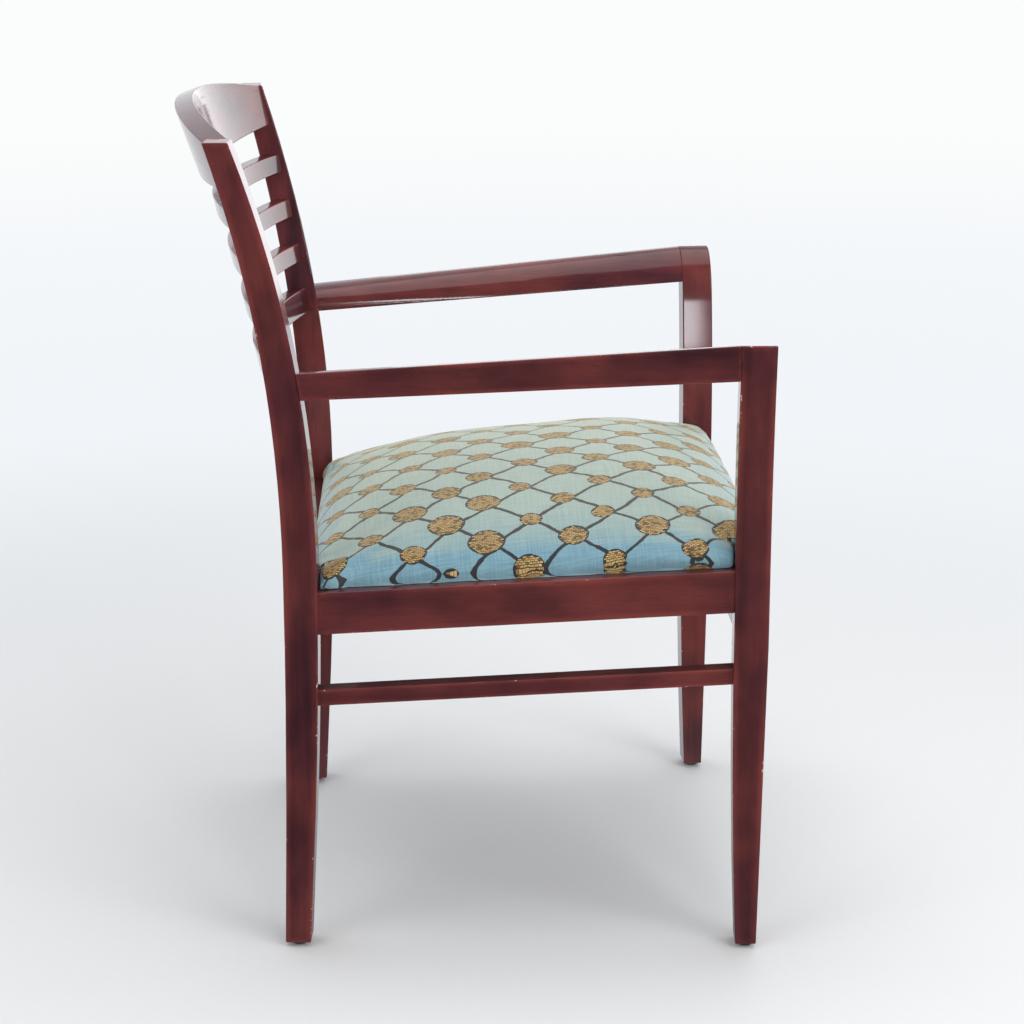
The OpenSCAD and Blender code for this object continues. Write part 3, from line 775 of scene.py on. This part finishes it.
@dataclass(frozen=True)
class PlatedSteel:
    """Zinc-plated steel of the screws and staples, a little dulled."""

    bright: Colour = tone("#b9babd")
    dull: Colour = tone("#77787c")

    def material(self) -> bpy.types.Material:
        """Build the steel's material."""
        material, graph, shader = finish_of("plated_steel")
        place = graph.own_place()
        hands = Handling().place(graph, {"Vector": place, "Density": 1.0})
        bloom = graph.noise(place, 340.0, 3.0, 0.6)
        graph.fill(shader, {
            "Base Color": graph.mix(graph.step(bloom, 0.4, 0.65), self.bright, self.dull),
            "Metallic": 1.0,
            "Roughness": graph.total(0.2, (bloom, 0.3), (hands["Scratch"], 0.2)),
            "Normal": graph.bump(bloom, 0.2, 0.0002),
        })
        return material


@dataclass(frozen=True)
class Nylon:
    """Dark moulded nylon of the glides, scuffed underneath."""

    body: Colour = tone("#262322")
    scuff: Colour = tone("#57524e")

    def material(self) -> bpy.types.Material:
        """Build the nylon's material."""
        material, graph, shader = finish_of("glide_nylon")
        place = graph.own_place()
        rub = graph.noise(place, (180.0, 700.0, 180.0), 3.0, 0.6)
        low = graph.step(graph.split(place)[2], 0.0022, 0.0002)
        scuffed = graph.times(graph.step(rub, 0.45, 0.7), graph.total(0.15, (low, 0.7)))
        graph.fill(shader, {
            "Base Color": graph.mix(scuffed, self.body, self.scuff),
            "Roughness": graph.total(0.42, (scuffed, 0.25)),
            "Normal": graph.bump(rub, 0.3, 0.0002),
        })
        return material


@dataclass(frozen=True)
class Easing:
    """How a CAD solid's long sharp edges are rounded over and marked for wear."""

    width: float
    shortest: float
    segments: int = 2
    angle: float = SHARP
    rim: float = 0.0

    def of(self, nodes: Objects, name: str, suffix: str, butts: int | None = None) -> Piece:
        """Copy a CAD solid with its edges rounded over.

        Args:
            nodes: The CAD objects by node name.
            name: The solid's node.
            suffix: What the new piece's name adds to the node's.
            butts: The axis whose end faces butt against another member and stay crisp.

        Returns:
            The new piece.
        """
        shape = opened(nodes[name].data, merge=True)
        bmesh.ops.dissolve_limit(shape, angle_limit=math.radians(0.4), verts=shape.verts, edges=shape.edges)
        eased = shape.faces.layers.float.new("edge")
        rims = shape.verts.layers.float.new("rim")
        crisp = set() if butts is None else {face for face in shape.faces if abs(face.normal[butts]) > 0.9}
        edges = [edge for edge in shape.edges
                 if len(edge.link_faces) == 2 and not crisp.intersection(edge.link_faces)
                 and edge.calc_face_angle(0.0) > self.angle and edge.calc_length() > self.shortest]
        made = bmesh.ops.bevel(shape, geom=edges, offset=self.width, offset_type="OFFSET", profile=0.5,
                               segments=self.segments, affect="EDGES", clamp_overlap=False, loop_slide=True,
                               material=-1)
        for face in made["faces"]:
            face[eased] = 1.0
        if self.rim:
            shade_rims(shape, eased, rims, self.rim, plain=1 if butts is None else None)
        for face in shape.faces:
            face.smooth = True
        piece = new_piece(f"{name}_{suffix}", shape)
        piece.data.set_sharp_from_angle(angle=self.angle)
        weighted = piece.modifiers.new("weighted", "WEIGHTED_NORMAL")
        weighted.keep_sharp = True
        weighted.weight = 80
        return piece


def flat_region(first: bmesh.types.BMFace, left: set[bmesh.types.BMFace]) -> list[bmesh.types.BMFace]:
    """Gather the faces that lie level with a face and are joined to it.

    Args:
        first: The face.
        left: The faces that may be taken, from which the region's are taken out.

    Returns:
        The region's faces.
    """
    level = math.radians(1.5)
    region, front = [first], [first]
    while front:
        for edge in front.pop().edges:
            near = left.intersection(edge.link_faces) if edge.calc_face_angle(0.0) <= level else set()
            left -= near
            region.extend(near)
            front.extend(near)
    return region


def holed(border: Sequence[bmesh.types.BMEdge]) -> bool:
    """Tell whether a region's border has more than one loop.

    Args:
        border: The region's border edges.

    Returns:
        Whether the region has a hole.
    """
    left, front = set(border[1:]), [border[0]]
    while front:
        edge = front.pop()
        near = {other for vert in edge.verts for other in vert.link_edges if other in left}
        left -= near
        front.extend(near)
    return bool(left)


def shade_rims(shape: Form, eased: bmesh.types.BMLayerItem, rims: bmesh.types.BMLayerItem,
               width: float, plain: int | None) -> None:
    """Inset each flat region between eased edges, and mark its outer line for a darker rim.

    Args:
        shape: The member's bmesh, changed in place.
        eased: The face layer that is 1 on eased edges.
        rims: The vertex layer that becomes 1 on the outer line and 0 inside.
        width: The rim's width.
        plain: The axis whose faces get no rim, or None.
    """
    least_area, least_widths = 8e-4, 2.4
    left = {face for face in shape.faces if face[eased] < 0.5
            and (plain is None or abs(face.normal[plain]) < 0.7)}
    while left:
        region = flat_region(left.pop(), left)
        area = sum(face.calc_area() for face in region)
        border = [edge for edge in {edge for face in region for edge in face.edges}
                  if sum(other in region for other in edge.link_faces) == 1]
        around = sum(edge.calc_length() for edge in border)
        if area < least_area or 2 * area < least_widths * width * around or holed(border):
            continue
        outer = {vert for face in region for vert in face.verts}
        bmesh.ops.inset_region(shape, faces=region, thickness=width, use_boundary=True, use_even_offset=True)
        for vert in outer:
            if any(face not in region for face in vert.link_faces):
                vert[rims] = 1.0


@dataclass
class WoodFrame:
    """The wooden members: eased copies of the CAD solids in the lacquer of their grain."""

    ease: float = 0.0016
    slim_ease: float = 0.0012
    shortest: float = 0.0016
    segments: int = 3
    rim: float = 0.0055
    arm_rim: float = 0.004
    slim_rim: float = 0.003

    def easing(self, name: str) -> Easing:
        """Return the easing of a member, finer on slim ones, with no rim on the crest rail.

        Args:
            name: The member's node.

        Returns:
            Its easing.
        """
        slim = "slat" in name or "stretcher" in name
        ease = self.slim_ease if slim or "seat_rail" in name else self.ease
        rim = self.slim_rim if slim else self.arm_rim if name.startswith("arm") else self.rim
        return Easing(ease, self.shortest, self.segments, rim=0.0 if name == "crest_rail" else rim)

    def build(self, nodes: Objects) -> None:
        """Build and dress every member.

        Args:
            nodes: The CAD objects by node name.
        """
        members = {
            GrainWay.UPRIGHT: paired("back_post", "front_leg"),
            GrainWay.DEEP: paired("arm", "side_seat_rail", "side_stretcher"),
            GrainWay.ACROSS: ["crest_rail", *SLATS, "front_seat_rail", "rear_seat_rail"],
        }
        for way, names in members.items():
            finish = Lacquer("lacquer_" + way.name.lower(), way).material()
            for name in names:
                piece = self.easing(name).of(nodes, name, "wood", way.value[1])
                seat_piece(piece, finish, "mahogany", name)


@dataclass
class Seat:
    """The upholstered seat: its cushion, the dust cloth under it, and its staples.

    Heights and lengths are in metres. The tuck draws the sides in toward the lower edge, and the fill raises
    the crown toward the front.
    """

    tilt: float = math.radians(3.2)
    voxel: float = 0.0054
    inward: float = 0.0022
    corner_passes: int = 7
    crown_passes: int = 16
    held_tall: float = 0.006
    pressure: float = 4.0
    frames: int = 20
    most: float = 0.010
    top_hold: float = 0.8
    fill: float = 0.0075
    fill_from: float = 0.22
    fill_blend: float = 0.14
    fill_clear: float = 0.03
    fill_facing: float = 0.5
    tuck: float = 0.008
    tuck_tall: float = 0.026
    tuck_full_at: float = 0.16
    tuck_clear: float = 0.02
    foot: float = 0.0042
    rear_hold: float = 0.85
    leg_gap: float = 0.0009
    leg_reach: float = 0.019
    leg_blend: float = 0.005
    leg_facing: float = 0.45
    hem_passes: int = 3
    hem_clear: float = 0.01
    hem_snap: float = 0.0016
    under_tall: float = 0.004
    under_sink: float = 0.0004
    recess: float = 0.0026
    recess_blend: float = 0.008
    flat_from: float = 0.97
    steep_from: float = 0.70
    map_passes: int = 12
    sag: float = 0.0028
    cell: float = 0.022
    cloth_thick: float = 0.0005
    lift: float = 0.0002
    staple: Sequence[float] = (0.0095, 0.0012, 0.0006)
    staple_ease: float = 0.00025
    staple_pitch: float = 0.042
    row_half: float = 0.15
    row_inset: float = 0.006
    file_half: float = 0.13
    file_insets: Sequence[float] = (0.0075, 0.0085)

    @property
    def turn(self) -> Matrix:
        """The turn from the world to the seat's own axes, with z square to the rails."""
        return Matrix.Rotation(self.tilt, 4, "X")

    def spots(self, mesh: bpy.types.Mesh) -> list[Vector]:
        """Return a mesh's vertices in the seat's axes."""
        turn = self.turn
        return [turn @ vert.co for vert in mesh.vertices]

    def skin(self, node: Piece) -> Form:
        """Take the outer skin of the CAD cover and close it underneath.

        Args:
            node: The CAD cover, a thin shell with an open middle under the board.

        Returns:
            The closed form.
        """
        shape = opened(node.data, merge=True)
        tree = BVHTree.FromBMesh(shape)
        off, far = 1e-4, 1.5
        inner = []
        for face in shape.faces:
            start = face.calc_center_median() + face.normal * off
            if tree.ray_cast(start, face.normal, far)[0] is not None:
                inner.append(face)
        bmesh.ops.delete(shape, geom=inner, context="FACES")
        bmesh.ops.holes_fill(shape, edges=[edge for edge in shape.edges if edge.is_boundary], sides=0)
        bmesh.ops.triangulate(shape, faces=shape.faces)
        bmesh.ops.recalc_face_normals(shape, faces=shape.faces)
        return shape

    def remeshed(self, shape: Form) -> Form:
        """Give a closed form even quads, drawn in a little, with its corners rounded.

        Args:
            shape: The closed form, which is freed.

        Returns:
            The even form.
        """
        blank = new_piece("cushion_blank", shape)
        modifier = blank.modifiers.new("even", "REMESH")
        modifier.mode = "VOXEL"
        modifier.voxel_size = self.voxel
        even = opened(settled(blank))
        bpy.data.objects.remove(blank)
        for vert in even.verts:
            vert.co -= vert.normal * self.inward
        relax(even, even.verts, self.corner_passes)
        turn = self.turn
        low = min((turn @ vert.co).z for vert in even.verts)
        upper = [vert for vert in even.verts if (turn @ vert.co).z > low + self.tuck_tall]
        relax(even, upper, self.crown_passes)
        return even

    def swollen(self, shape: Form) -> Piece:
        """Blow the cloth up against its own tension, held where it turns under the board.

        Args:
            shape: The even form, which is freed.

        Returns:
            The cushion.
        """
        piece = new_piece("seat_cushion", shape)
        heights = [spot.z for spot in self.spots(piece.data)]
        low = min(heights)
        start = [vert.co.copy() for vert in piece.data.vertices]
        held = piece.vertex_groups.new(name="held")
        held.add([i for i, height in enumerate(heights) if height < low + self.held_tall], 1.0, "REPLACE")
        cloth = piece.modifiers.new("cloth", "CLOTH")
        settings = {
            "quality": 5, "mass": 0.3, "tension_stiffness": 18.0, "compression_stiffness": 18.0,
            "shear_stiffness": 6.0, "bending_stiffness": 0.8, "use_pressure": True,
            "uniform_pressure_force": self.pressure, "vertex_group_mass": held.name,
        }
        for key, value in settings.items():
            setattr(cloth.settings, key, value)
        cloth.settings.effector_weights.gravity = 0.0
        cloth.collision_settings.use_self_collision = False
        scene = bpy.context.scene
        for frame in range(1, self.frames + 1):
            scene.frame_set(frame)
        blown = settled(piece)
        scene.frame_set(1)
        piece.modifiers.clear()
        piece.vertex_groups.clear()
        furthest = 0.0
        for vert, target in zip(piece.data.vertices, blown.vertices):
            move = target.co - start[vert.index]
            furthest = max(furthest, move.length)
            if move.length > self.most:
                move *= self.most / move.length
            move *= 1.0 - self.top_hold * max(0.0, target.normal.z) ** 2
            vert.co = start[vert.index] + move
        log.info("%s: swelled by up to %.1f mm", piece.name, furthest * 1000)
        bpy.data.meshes.remove(blown)
        return piece

    def fill_front(self, piece: Piece, uprights: BVHTree) -> None:
        """Fill out the crown toward the front, where the foam is fullest.

        Args:
            piece: The cushion.
            uprights: The legs and posts, near which the cushion stays as it is.
        """
        square = self.turn.to_3x3()
        spots = self.spots(piece.data)
        full_to = min(spot.y for spot in spots) + self.fill_from
        moved = []
        for vert, spot in zip(piece.data.vertices, spots):
            share = clamped((full_to - spot.y) / self.fill_blend)
            share *= share * (3.0 - 2.0 * share)
            upward = clamped((square @ vert.normal).z / self.fill_facing)
            clear = clamped(uprights.find_nearest(vert.co)[3] / self.fill_clear)
            moved.append(vert.co + vert.normal * self.fill * share * upward * clear)
        for vert, place in zip(piece.data.vertices, moved):
            vert.co = place

    def tuck_in(self, piece: Piece, rail_top: float, uprights: BVHTree) -> None:
        """Set the cushion on the rails, draw its sides in toward its lower edge, and snug it to the legs.

        Args:
            piece: The cushion.
            rail_top: The height of the rails in the seat's axes.
            uprights: The legs and posts that the cushion is notched round.
        """
        turn = self.turn
        back, square = turn.inverted(), turn.to_3x3()
        low = min(spot.z for spot in self.spots(piece.data))
        climb = (low + self.tuck_tall - rail_top) / (self.tuck_tall - self.foot)
        for vert in piece.data.vertices:
            spot = turn @ vert.co
            spot.z = min(spot.z, rail_top + max(0.0, spot.z - low - self.foot) * climb)
            share = max(0.0, 1.0 - (spot.z - rail_top) / self.tuck_tall)
            away = (square @ vert.normal).to_2d()
            touch, _, _, gap = uprights.find_nearest(vert.co)
            if away.length > 1e-4:
                reach = min(1.0, spot.to_2d().length / self.tuck_full_at) ** 6
                reach *= clamped(gap / self.tuck_clear - 0.6)
                reach *= 1.0 - self.rear_hold * max(0.0, away.normalized().y) ** 2
                move = away.normalized() * min(1.0, away.length * 2) * self.tuck * share ** 1.4 * reach
                spot -= move.to_3d()
            pull = Vector((touch.x - vert.co.x, touch.y - vert.co.y, 0.0))
            if pull.length > self.leg_gap and pull.normalized().dot(vert.normal) > self.leg_facing:
                fade = clamped((self.leg_reach - gap) / self.leg_blend)
                spot += square @ (pull.normalized() * (pull.length - self.leg_gap) * fade)
            vert.co = back @ spot
        shape = opened(piece.data)
        for _ in range(self.hem_passes):
            hem = [vert for vert in shape.verts if (turn @ vert.co).z < rail_top + self.tuck_tall
                   and uprights.find_nearest(vert.co)[3] > self.hem_clear]
            relax(shape, hem, 1)
        for vert in shape.verts:
            spot = turn @ vert.co
            spot.z = rail_top if spot.z < rail_top + self.hem_snap else spot.z
            vert.co = back @ spot
        closed(shape, piece.data)

    def flatten_under(self, piece: Piece, low: Vector, high: Vector) -> None:
        """Keep the cushion on the rails, and let its middle underneath clear the dust cloth.

        Args:
            piece: The cushion.
            low: The dust cloth's lowest corner in the seat's axes.
            high: Its highest corner.
        """
        back = self.turn.inverted()
        for vert, spot in zip(piece.data.vertices, self.spots(piece.data)):
            inside = min(spot.x - low.x, high.x - spot.x, spot.y - low.y, high.y - spot.y)
            if spot.z < low.z + self.under_tall:
                share = clamped(inside / self.recess_blend + 0.5)
                spot.z = max(spot.z, low.z + self.recess * share if share else low.z - self.under_sink)
                vert.co = back @ spot

    def lay_cloth(self, piece: Piece) -> None:
        """Map the cloth: flat across the crown, and carried on down the sides by the length of the slope.

        Args:
            piece: The cushion, which gets a map in metres.
        """
        shape = opened(piece.data)
        painted_shade = shape.verts.layers.float.new("painted_shade")
        layer = shape.loops.layers.uv.new("cloth")
        turn = self.turn
        spots = {vert: turn @ vert.co for vert in shape.verts}
        facing = {vert: (turn.to_3x3() @ vert.normal).normalized() for vert in shape.verts}
        extra = {}
        for vert in sorted(shape.verts, key=lambda one: -spots[one].z):
            rise = total = 0.0
            slope = math.sqrt((1.0 - min(facing[vert].z, 1.0)) / max(1.0 + facing[vert].z, 0.2))
            for edge in vert.link_edges:
                other = edge.other_vert(vert)
                climb = spots[other].z - spots[vert].z
                if other in extra and climb > 1e-6:
                    total += climb
                    rise += climb * (extra[other] + climb * slope)
            extra[vert] = rise / total if total else 0.0
        for _ in range(self.map_passes):
            around = {vert: sum(extra[edge.other_vert(vert)] for edge in vert.link_edges)
                      for vert in shape.verts}
            extra = {vert: 0.5 * extra[vert] + 0.5 * around[vert] / len(vert.link_edges) for vert in around}
        # Painted sheen and shade: mark how steeply each vertex faces, from 0 on the upward crown to 1 on the
        # steep sides.
        for vert in shape.verts:
            vert[painted_shade] = clamped((self.flat_from - facing[vert].z) / (self.flat_from - self.steep_from))
        for face in shape.faces:
            face.smooth = True
            for loop in face.loops:
                away = facing[loop.vert].to_2d()
                away = away / away.length if away.length > 1e-5 else Vector((0.0, 0.0))
                loop[layer].uv = spots[loop.vert].to_2d() + away * extra[loop.vert]
        closed(shape, piece.data)

    def cushion(self, nodes: Objects) -> None:
        """Build the cushion in the space of the CAD cover and foam.

        Args:
            nodes: The CAD objects by node name.
        """
        piece = self.swollen(self.remeshed(self.skin(nodes["seat_cover"])))
        rail_top = min(spot.z for spot in self.spots(nodes["seat_cover"].data))
        uprights = bmesh.new()
        for name in paired("back_post", "front_leg"):
            uprights.from_mesh(nodes[name].data)
        tree = BVHTree.FromBMesh(uprights)
        uprights.free()
        self.fill_front(piece, tree)
        self.tuck_in(piece, rail_top, tree)
        self.flatten_under(piece, *extent(self.spots(nodes["dust_cloth"].data)))
        self.lay_cloth(piece)
        finer = piece.modifiers.new("finer", "SUBSURF")
        finer.levels = finer.render_levels = 1
        seat_piece(piece, StitchedCloth().material(), "seat_fabric", "seat_cover", "seat_foam")

    def dust_sheet(self, node: Piece) -> None:
        """Build the dust cloth, stretched under the board and sagging a little in the middle.

        Args:
            node: The CAD cloth, a thin plate.
        """
        shape = opened(node.data)
        bmesh.ops.transform(shape, matrix=self.turn, verts=shape.verts)
        bmesh.ops.remove_doubles(shape, verts=shape.verts, dist=MERGE)
        shape.normal_update()
        upper = [face for face in shape.faces if face.normal.z > -0.9]
        bmesh.ops.delete(shape, geom=upper, context="FACES")
        low, high = extent(vert.co for vert in shape.verts)
        for axis in (0, 1):
            steps = round((high[axis] - low[axis]) / self.cell)
            for i in range(1, steps):
                spot, way = Vector(), Vector()
                spot[axis] = low[axis] + (high[axis] - low[axis]) * i / steps
                way[axis] = 1.0
                bmesh.ops.bisect_plane(shape, geom=[*shape.verts, *shape.edges, *shape.faces], dist=1e-6,
                                       plane_co=spot, plane_no=way)
        area = sum(face.calc_area() for face in shape.faces)
        middle, half = (low + high) / 2, (high - low) / 2
        for vert in shape.verts:
            across, along = (vert.co.x - middle.x) / half.x, (vert.co.y - middle.y) / half.y
            hang = max(0.0, math.cos(across * math.pi / 2)) * max(0.0, math.cos(along * math.pi / 2))
            vert.co.z += self.lift - self.sag * hang ** 1.6
        for face in shape.faces:
            face.smooth = True
        bmesh.ops.transform(shape, matrix=self.turn.inverted(), verts=shape.verts)
        piece = new_piece("dust_sheet", shape)
        thick = piece.modifiers.new("thick", "SOLIDIFY")
        thick.thickness = self.cloth_thick
        thick.offset = -1.0
        seat_piece(piece, DustFelt().material(), "dust_fabric", "dust_cloth")

    def staple_lines(self, spots: Sequence[Vector]) -> list[tuple[Vector, Vector]]:
        """Lay out the lines of staples, two across and two along the slanted sides.

        Args:
            spots: The CAD cloth's vertices in the seat's axes.

        Returns:
            The start and end of each line.
        """
        low, high = extent(spots)
        middle = (low + high) / 2
        lines = []
        for way in (-1, 1):
            y = middle.y + way * ((high.y - low.y) / 2 - self.row_inset)
            lines.append((Vector((-self.row_half, y, 0)), Vector((self.row_half, y, 0))))
        front, rear = (max(abs(spot.x) for spot in spots if (spot.y - middle.y) * way > 0) - inset
                       for way, inset in zip((-1, 1), self.file_insets))
        for side in (-1, 1):
            lines.append((Vector((side * front, middle.y - self.file_half, 0)),
                          Vector((side * rear, middle.y + self.file_half, 0))))
        return lines

    def staples(self, node: Piece) -> None:
        """Drive staples round the dust cloth's edge, each a little askew.

        Args:
            node: The CAD cloth, whose outline they follow.
        """
        spots = self.spots(node.data)
        height = min(spot.z for spot in spots) + self.lift
        shape = bmesh.new()
        for start, end in self.staple_lines(spots):
            count = round((end - start).length / self.staple_pitch)
            angle = math.atan2(end.y - start.y, end.x - start.x)
            for i in range(count + 1):
                spot = start.lerp(end, i / count)
                askew = angle + 0.35 * math.sin(7.3 * i + 3.1 * start.x + 5.0 * start.y)
                place = Matrix.Translation((spot.x, spot.y, height)) @ Matrix.Rotation(askew, 4, "Z")
                place = place @ Matrix.Diagonal((*self.staple, 1.0))
                made = bmesh.ops.create_cube(shape, size=1.0, matrix=place)
                edges = {edge for vert in made["verts"] for edge in vert.link_edges}
                bmesh.ops.bevel(shape, geom=list(edges), offset=self.staple_ease, offset_type="OFFSET",
                                segments=1, profile=0.5, affect="EDGES", material=-1)
        bmesh.ops.transform(shape, matrix=self.turn.inverted(), verts=shape.verts)
        seat_piece(new_piece("dust_sheet_staples", shape), PlatedSteel().material(), "screw_steel")

    def build(self, nodes: Objects) -> None:
        """Build the seat's pieces.

        Args:
            nodes: The CAD objects by node name.
        """
        self.cushion(nodes)
        self.dust_sheet(nodes["dust_cloth"])
        self.staples(nodes["dust_cloth"])


@dataclass
class Fittings:
    """What holds the chair together: blocks, dowels, screws and glides."""

    block: Easing = Easing(0.0012, 0.0016)
    glide: Easing = Easing(0.0005, 0.0004)
    screw: Easing = Easing(0.0003, 0.0002)
    board: Easing = Easing(0.001, 0.004, angle=math.radians(60))
    board_share: float = 0.93

    def plywood(self, nodes: Objects) -> None:
        """Build the seat board, drawn in so that the cushion covers it.

        Args:
            nodes: The CAD objects by node name.
        """
        piece = self.board.of(nodes, "seat_board", "ply")
        middle = sum((vert.co for vert in piece.data.vertices), Vector()) / len(piece.data.vertices)
        for vert in piece.data.vertices:
            vert.co.x = middle.x + (vert.co.x - middle.x) * self.board_share
            vert.co.y = middle.y + (vert.co.y - middle.y) * self.board_share
        finish = RawWood("board_plywood", GrainWay.DEEP, tone("#d3b384"), tone("#a8834f")).material()
        seat_piece(piece, finish, "plywood", "seat_board")

    def build(self, nodes: Objects) -> None:
        """Dress the fittings, with eased copies of those that can be seen.

        Args:
            nodes: The CAD objects by node name.
        """
        block = RawWood("block_softwood", GrainWay.ACROSS, tone("#c9a97d"), tone("#94703f")).material()
        dowel = RawWood("dowel_beech", GrainWay.ACROSS, tone("#dcbd90"), tone("#b48f5e")).material()
        steel, nylon = PlatedSteel().material(), Nylon().material()
        lots = []
        for corner in paired("front", "rear"):
            lots.append((self.block, f"corner_block_{corner}", "wood", block, "block_wood"))
            lots.append((self.glide, f"glide_{corner}", "moulding", nylon, "glide_plastic"))
        for name in ("seat_screws", "corner_block_screws"):
            lots.append((self.screw, name, "plated", steel, "screw_steel"))
        for easing, name, suffix, finish, slot in lots:
            seat_piece(easing.of(nodes, name, suffix), finish, slot, name)
        self.plywood(nodes)
        for name in ("rail_dowels", "arm_dowels", "stretcher_dowels", "crest_dowels"):
            if not nodes[name].material_slots:
                nodes[name].data.materials.append(dowel)
            for slot in nodes[name].material_slots:
                slot.material = dowel


@dataclass(frozen=True)
class Floor:
    """The plain pale floor's finish."""

    near: Colour = tone("#dfdedd")
    far: Colour = tone("#f1f5f9")
    haze: Colour = tone("#fbfcfc")

    def material(self) -> bpy.types.Material:
        """Build the floor's material.

        It fades into the white surround away from the chair, looks pale in the lacquer beyond the chair, and
        lets the camera see through it from below.

        Returns:
            The material.
        """
        material, graph, shader = finish_of("studio_floor")
        place = graph.own_place()
        away = graph.node("VectorMath", {0: place}, operation="LENGTH").outputs["Value"]
        path = graph.node("LightPath").outputs
        graph.fill(shader, {
            "Base Color": graph.mix(graph.times(graph.noise(place, 90.0, 3.0), 0.1), self.near, self.far),
            "Roughness": 0.7,
            "Specular IOR Level": 0.15,
        })
        glow = graph.node("Emission", {0: graph.mix(graph.step(away, 2.4, 7.5), self.far, self.haze), 1: 1.0})
        beyond = graph.step(graph.split(place)[0], -0.7, 1.2)
        mirrored = graph.node("Emission", {0: self.far, 1: graph.total(0.1, (beyond, 0.95))})
        below = graph.times(graph.node("NewGeometry").outputs["Backfacing"], path["Is Camera Ray"])
        seen = shader
        for share, other in ((graph.times(graph.step(away, 0.8, 2.3), path["Is Camera Ray"]), glow),
                             (path["Is Glossy Ray"], mirrored),
                             (below, graph.node("BsdfTransparent"))):
            seen = graph.node("MixShader", {0: share, 1: seen.outputs[0], 2: other.outputs[0]})
        output = next(node for node in graph.tree.nodes if node.type == "OUTPUT_MATERIAL")
        graph.fill(output, {"Surface": seen.outputs[0]})
        return material


@dataclass(frozen=True)
class Softbox:
    """A rectangular lamp that the camera doesn't see: its place, what it faces, its size and its watts."""

    name: str
    place: Sequence[float]
    aim: Sequence[float]
    size: Sequence[float]
    power: float
    colour: Sequence[float] = (1.0, 1.0, 1.0)

    def hang(self) -> None:
        """Hang the lamp."""
        data = bpy.data.lights.new(self.name, "AREA")
        data.shape = "RECTANGLE"
        data.size, data.size_y = self.size
        data.energy = self.power
        data.color = self.colour
        lamp = bpy.data.objects.new(self.name, data)
        lamp.location = self.place
        lamp.rotation_mode = "QUATERNION"
        lamp.rotation_quaternion = (Vector(self.aim) - Vector(self.place)).to_track_quat("-Z", "Y")
        lamp.visible_camera = False
        bpy.context.scene.collection.objects.link(lamp)


@dataclass
class Studio:
    """The camera, the floor, the softboxes and the even surround."""

    eye: Vector = field(default_factory=lambda: Vector((-2.6706, 0.0523, 1.156)))
    yaw: float = math.radians(2.2219)
    pitch: float = math.radians(15.5911)
    roll: float = math.radians(-0.2621)
    focal: float = 2457.4
    picture: int = 1024
    sensor: float = 36.0
    clip: float = 60.0
    dim: float = 0.10
    bright: float = 1.1
    reach: float = 9.0
    lamps: Sequence[Softbox] = (
        Softbox("overhead_box", (-0.2, -0.1, 2.9), (0.0, 0.0, 0.4), (2.4, 2.4), 29.0),
        Softbox("key_box", (-2.4, -2.2, 2.2), (0.0, 0.0, 0.45), (1.8, 1.8), 46.0),
        Softbox("fill_box", (-2.2, 2.4, 1.4), (0.0, 0.0, 0.45), (1.8, 1.8), 26.0),
        Softbox("far_box", (2.9, -1.2, 1.15), (0.0, -0.1, 0.6), (3.0, 1.8), 15.0),
        Softbox("window_box", (-2.95, -0.72, 0.82), (0.25, -0.3, 0.6), (0.62, 0.55), 20.0, (0.93, 0.95, 1.0)),
    )

    def camera(self) -> None:
        """Set up the camera that the photograph was taken with."""
        cy, sy = math.cos(self.yaw), math.sin(self.yaw)
        cp, sp = math.cos(self.pitch), math.sin(self.pitch)
        forward = Vector((cy * cp, -sy * cp, -sp))
        level = Vector((-sy, -cy, 0.0))
        upward = level.cross(forward)
        right = math.cos(self.roll) * level + math.sin(self.roll) * upward
        up = math.cos(self.roll) * upward - math.sin(self.roll) * level
        data = bpy.data.cameras.new("photo_camera")
        data.sensor_width = self.sensor
        data.lens = self.focal * self.sensor / self.picture
        data.clip_end = self.clip
        camera = bpy.data.objects.new("photo_camera", data)
        turn = Matrix((right, up, -forward)).transposed().to_4x4()
        camera.matrix_world = Matrix.Translation(self.eye) @ turn
        bpy.context.scene.collection.objects.link(camera)
        bpy.context.scene.camera = camera

    def floor(self) -> None:
        """Lay the floor."""
        shape = bmesh.new()
        bmesh.ops.create_circle(shape, cap_ends=True, segments=96, radius=self.reach)
        floor = new_piece("studio_floor", shape)
        floor.data.materials.append(Floor().material())

    def world(self) -> None:
        """Set the surround: white beyond the chair, dim on the camera's side, and white to the camera."""
        world = bpy.data.worlds.new("surround")
        world.use_nodes = True
        bpy.context.scene.world = world
        graph = Graph(world.node_tree)
        way = graph.node("TexCoord").outputs["Generated"]
        facing = graph.node("VectorMath", {0: way, 1: (0.88, -0.1, 0.45)}, operation="DOT_PRODUCT")
        beyond = graph.step(facing.outputs["Value"], -0.25, 0.55)
        level = graph.total(self.dim, (beyond, self.bright - self.dim))
        soft = graph.node("Background", {0: tone("#eef3f8"), 1: level})
        seen = graph.node("Background", {0: tone("#fbfcfc"), 1: 1.0})
        direct = graph.node("LightPath").outputs["Is Camera Ray"]
        pick = graph.node("MixShader", {0: direct, 1: soft.outputs[0], 2: seen.outputs[0]})
        graph.node("OutputWorld", {"Surface": pick.outputs[0]})

    def build(self) -> None:
        """Build the whole studio."""
        bpy.context.scene.view_settings.view_transform = "Standard"
        self.camera()
        self.floor()
        self.world()
        for lamp in self.lamps:
            lamp.hang()


def main() -> None:
    """Build the dressed chair and its studio."""
    logging.basicConfig(level=logging.INFO, format="%(name)s: %(message)s")
    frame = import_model()
    Studio().build()
    WoodFrame().build(frame["nodes"])
    Seat().build(frame["nodes"])
    Fittings().build(frame["nodes"])


if __name__ == "__main__":
    main()
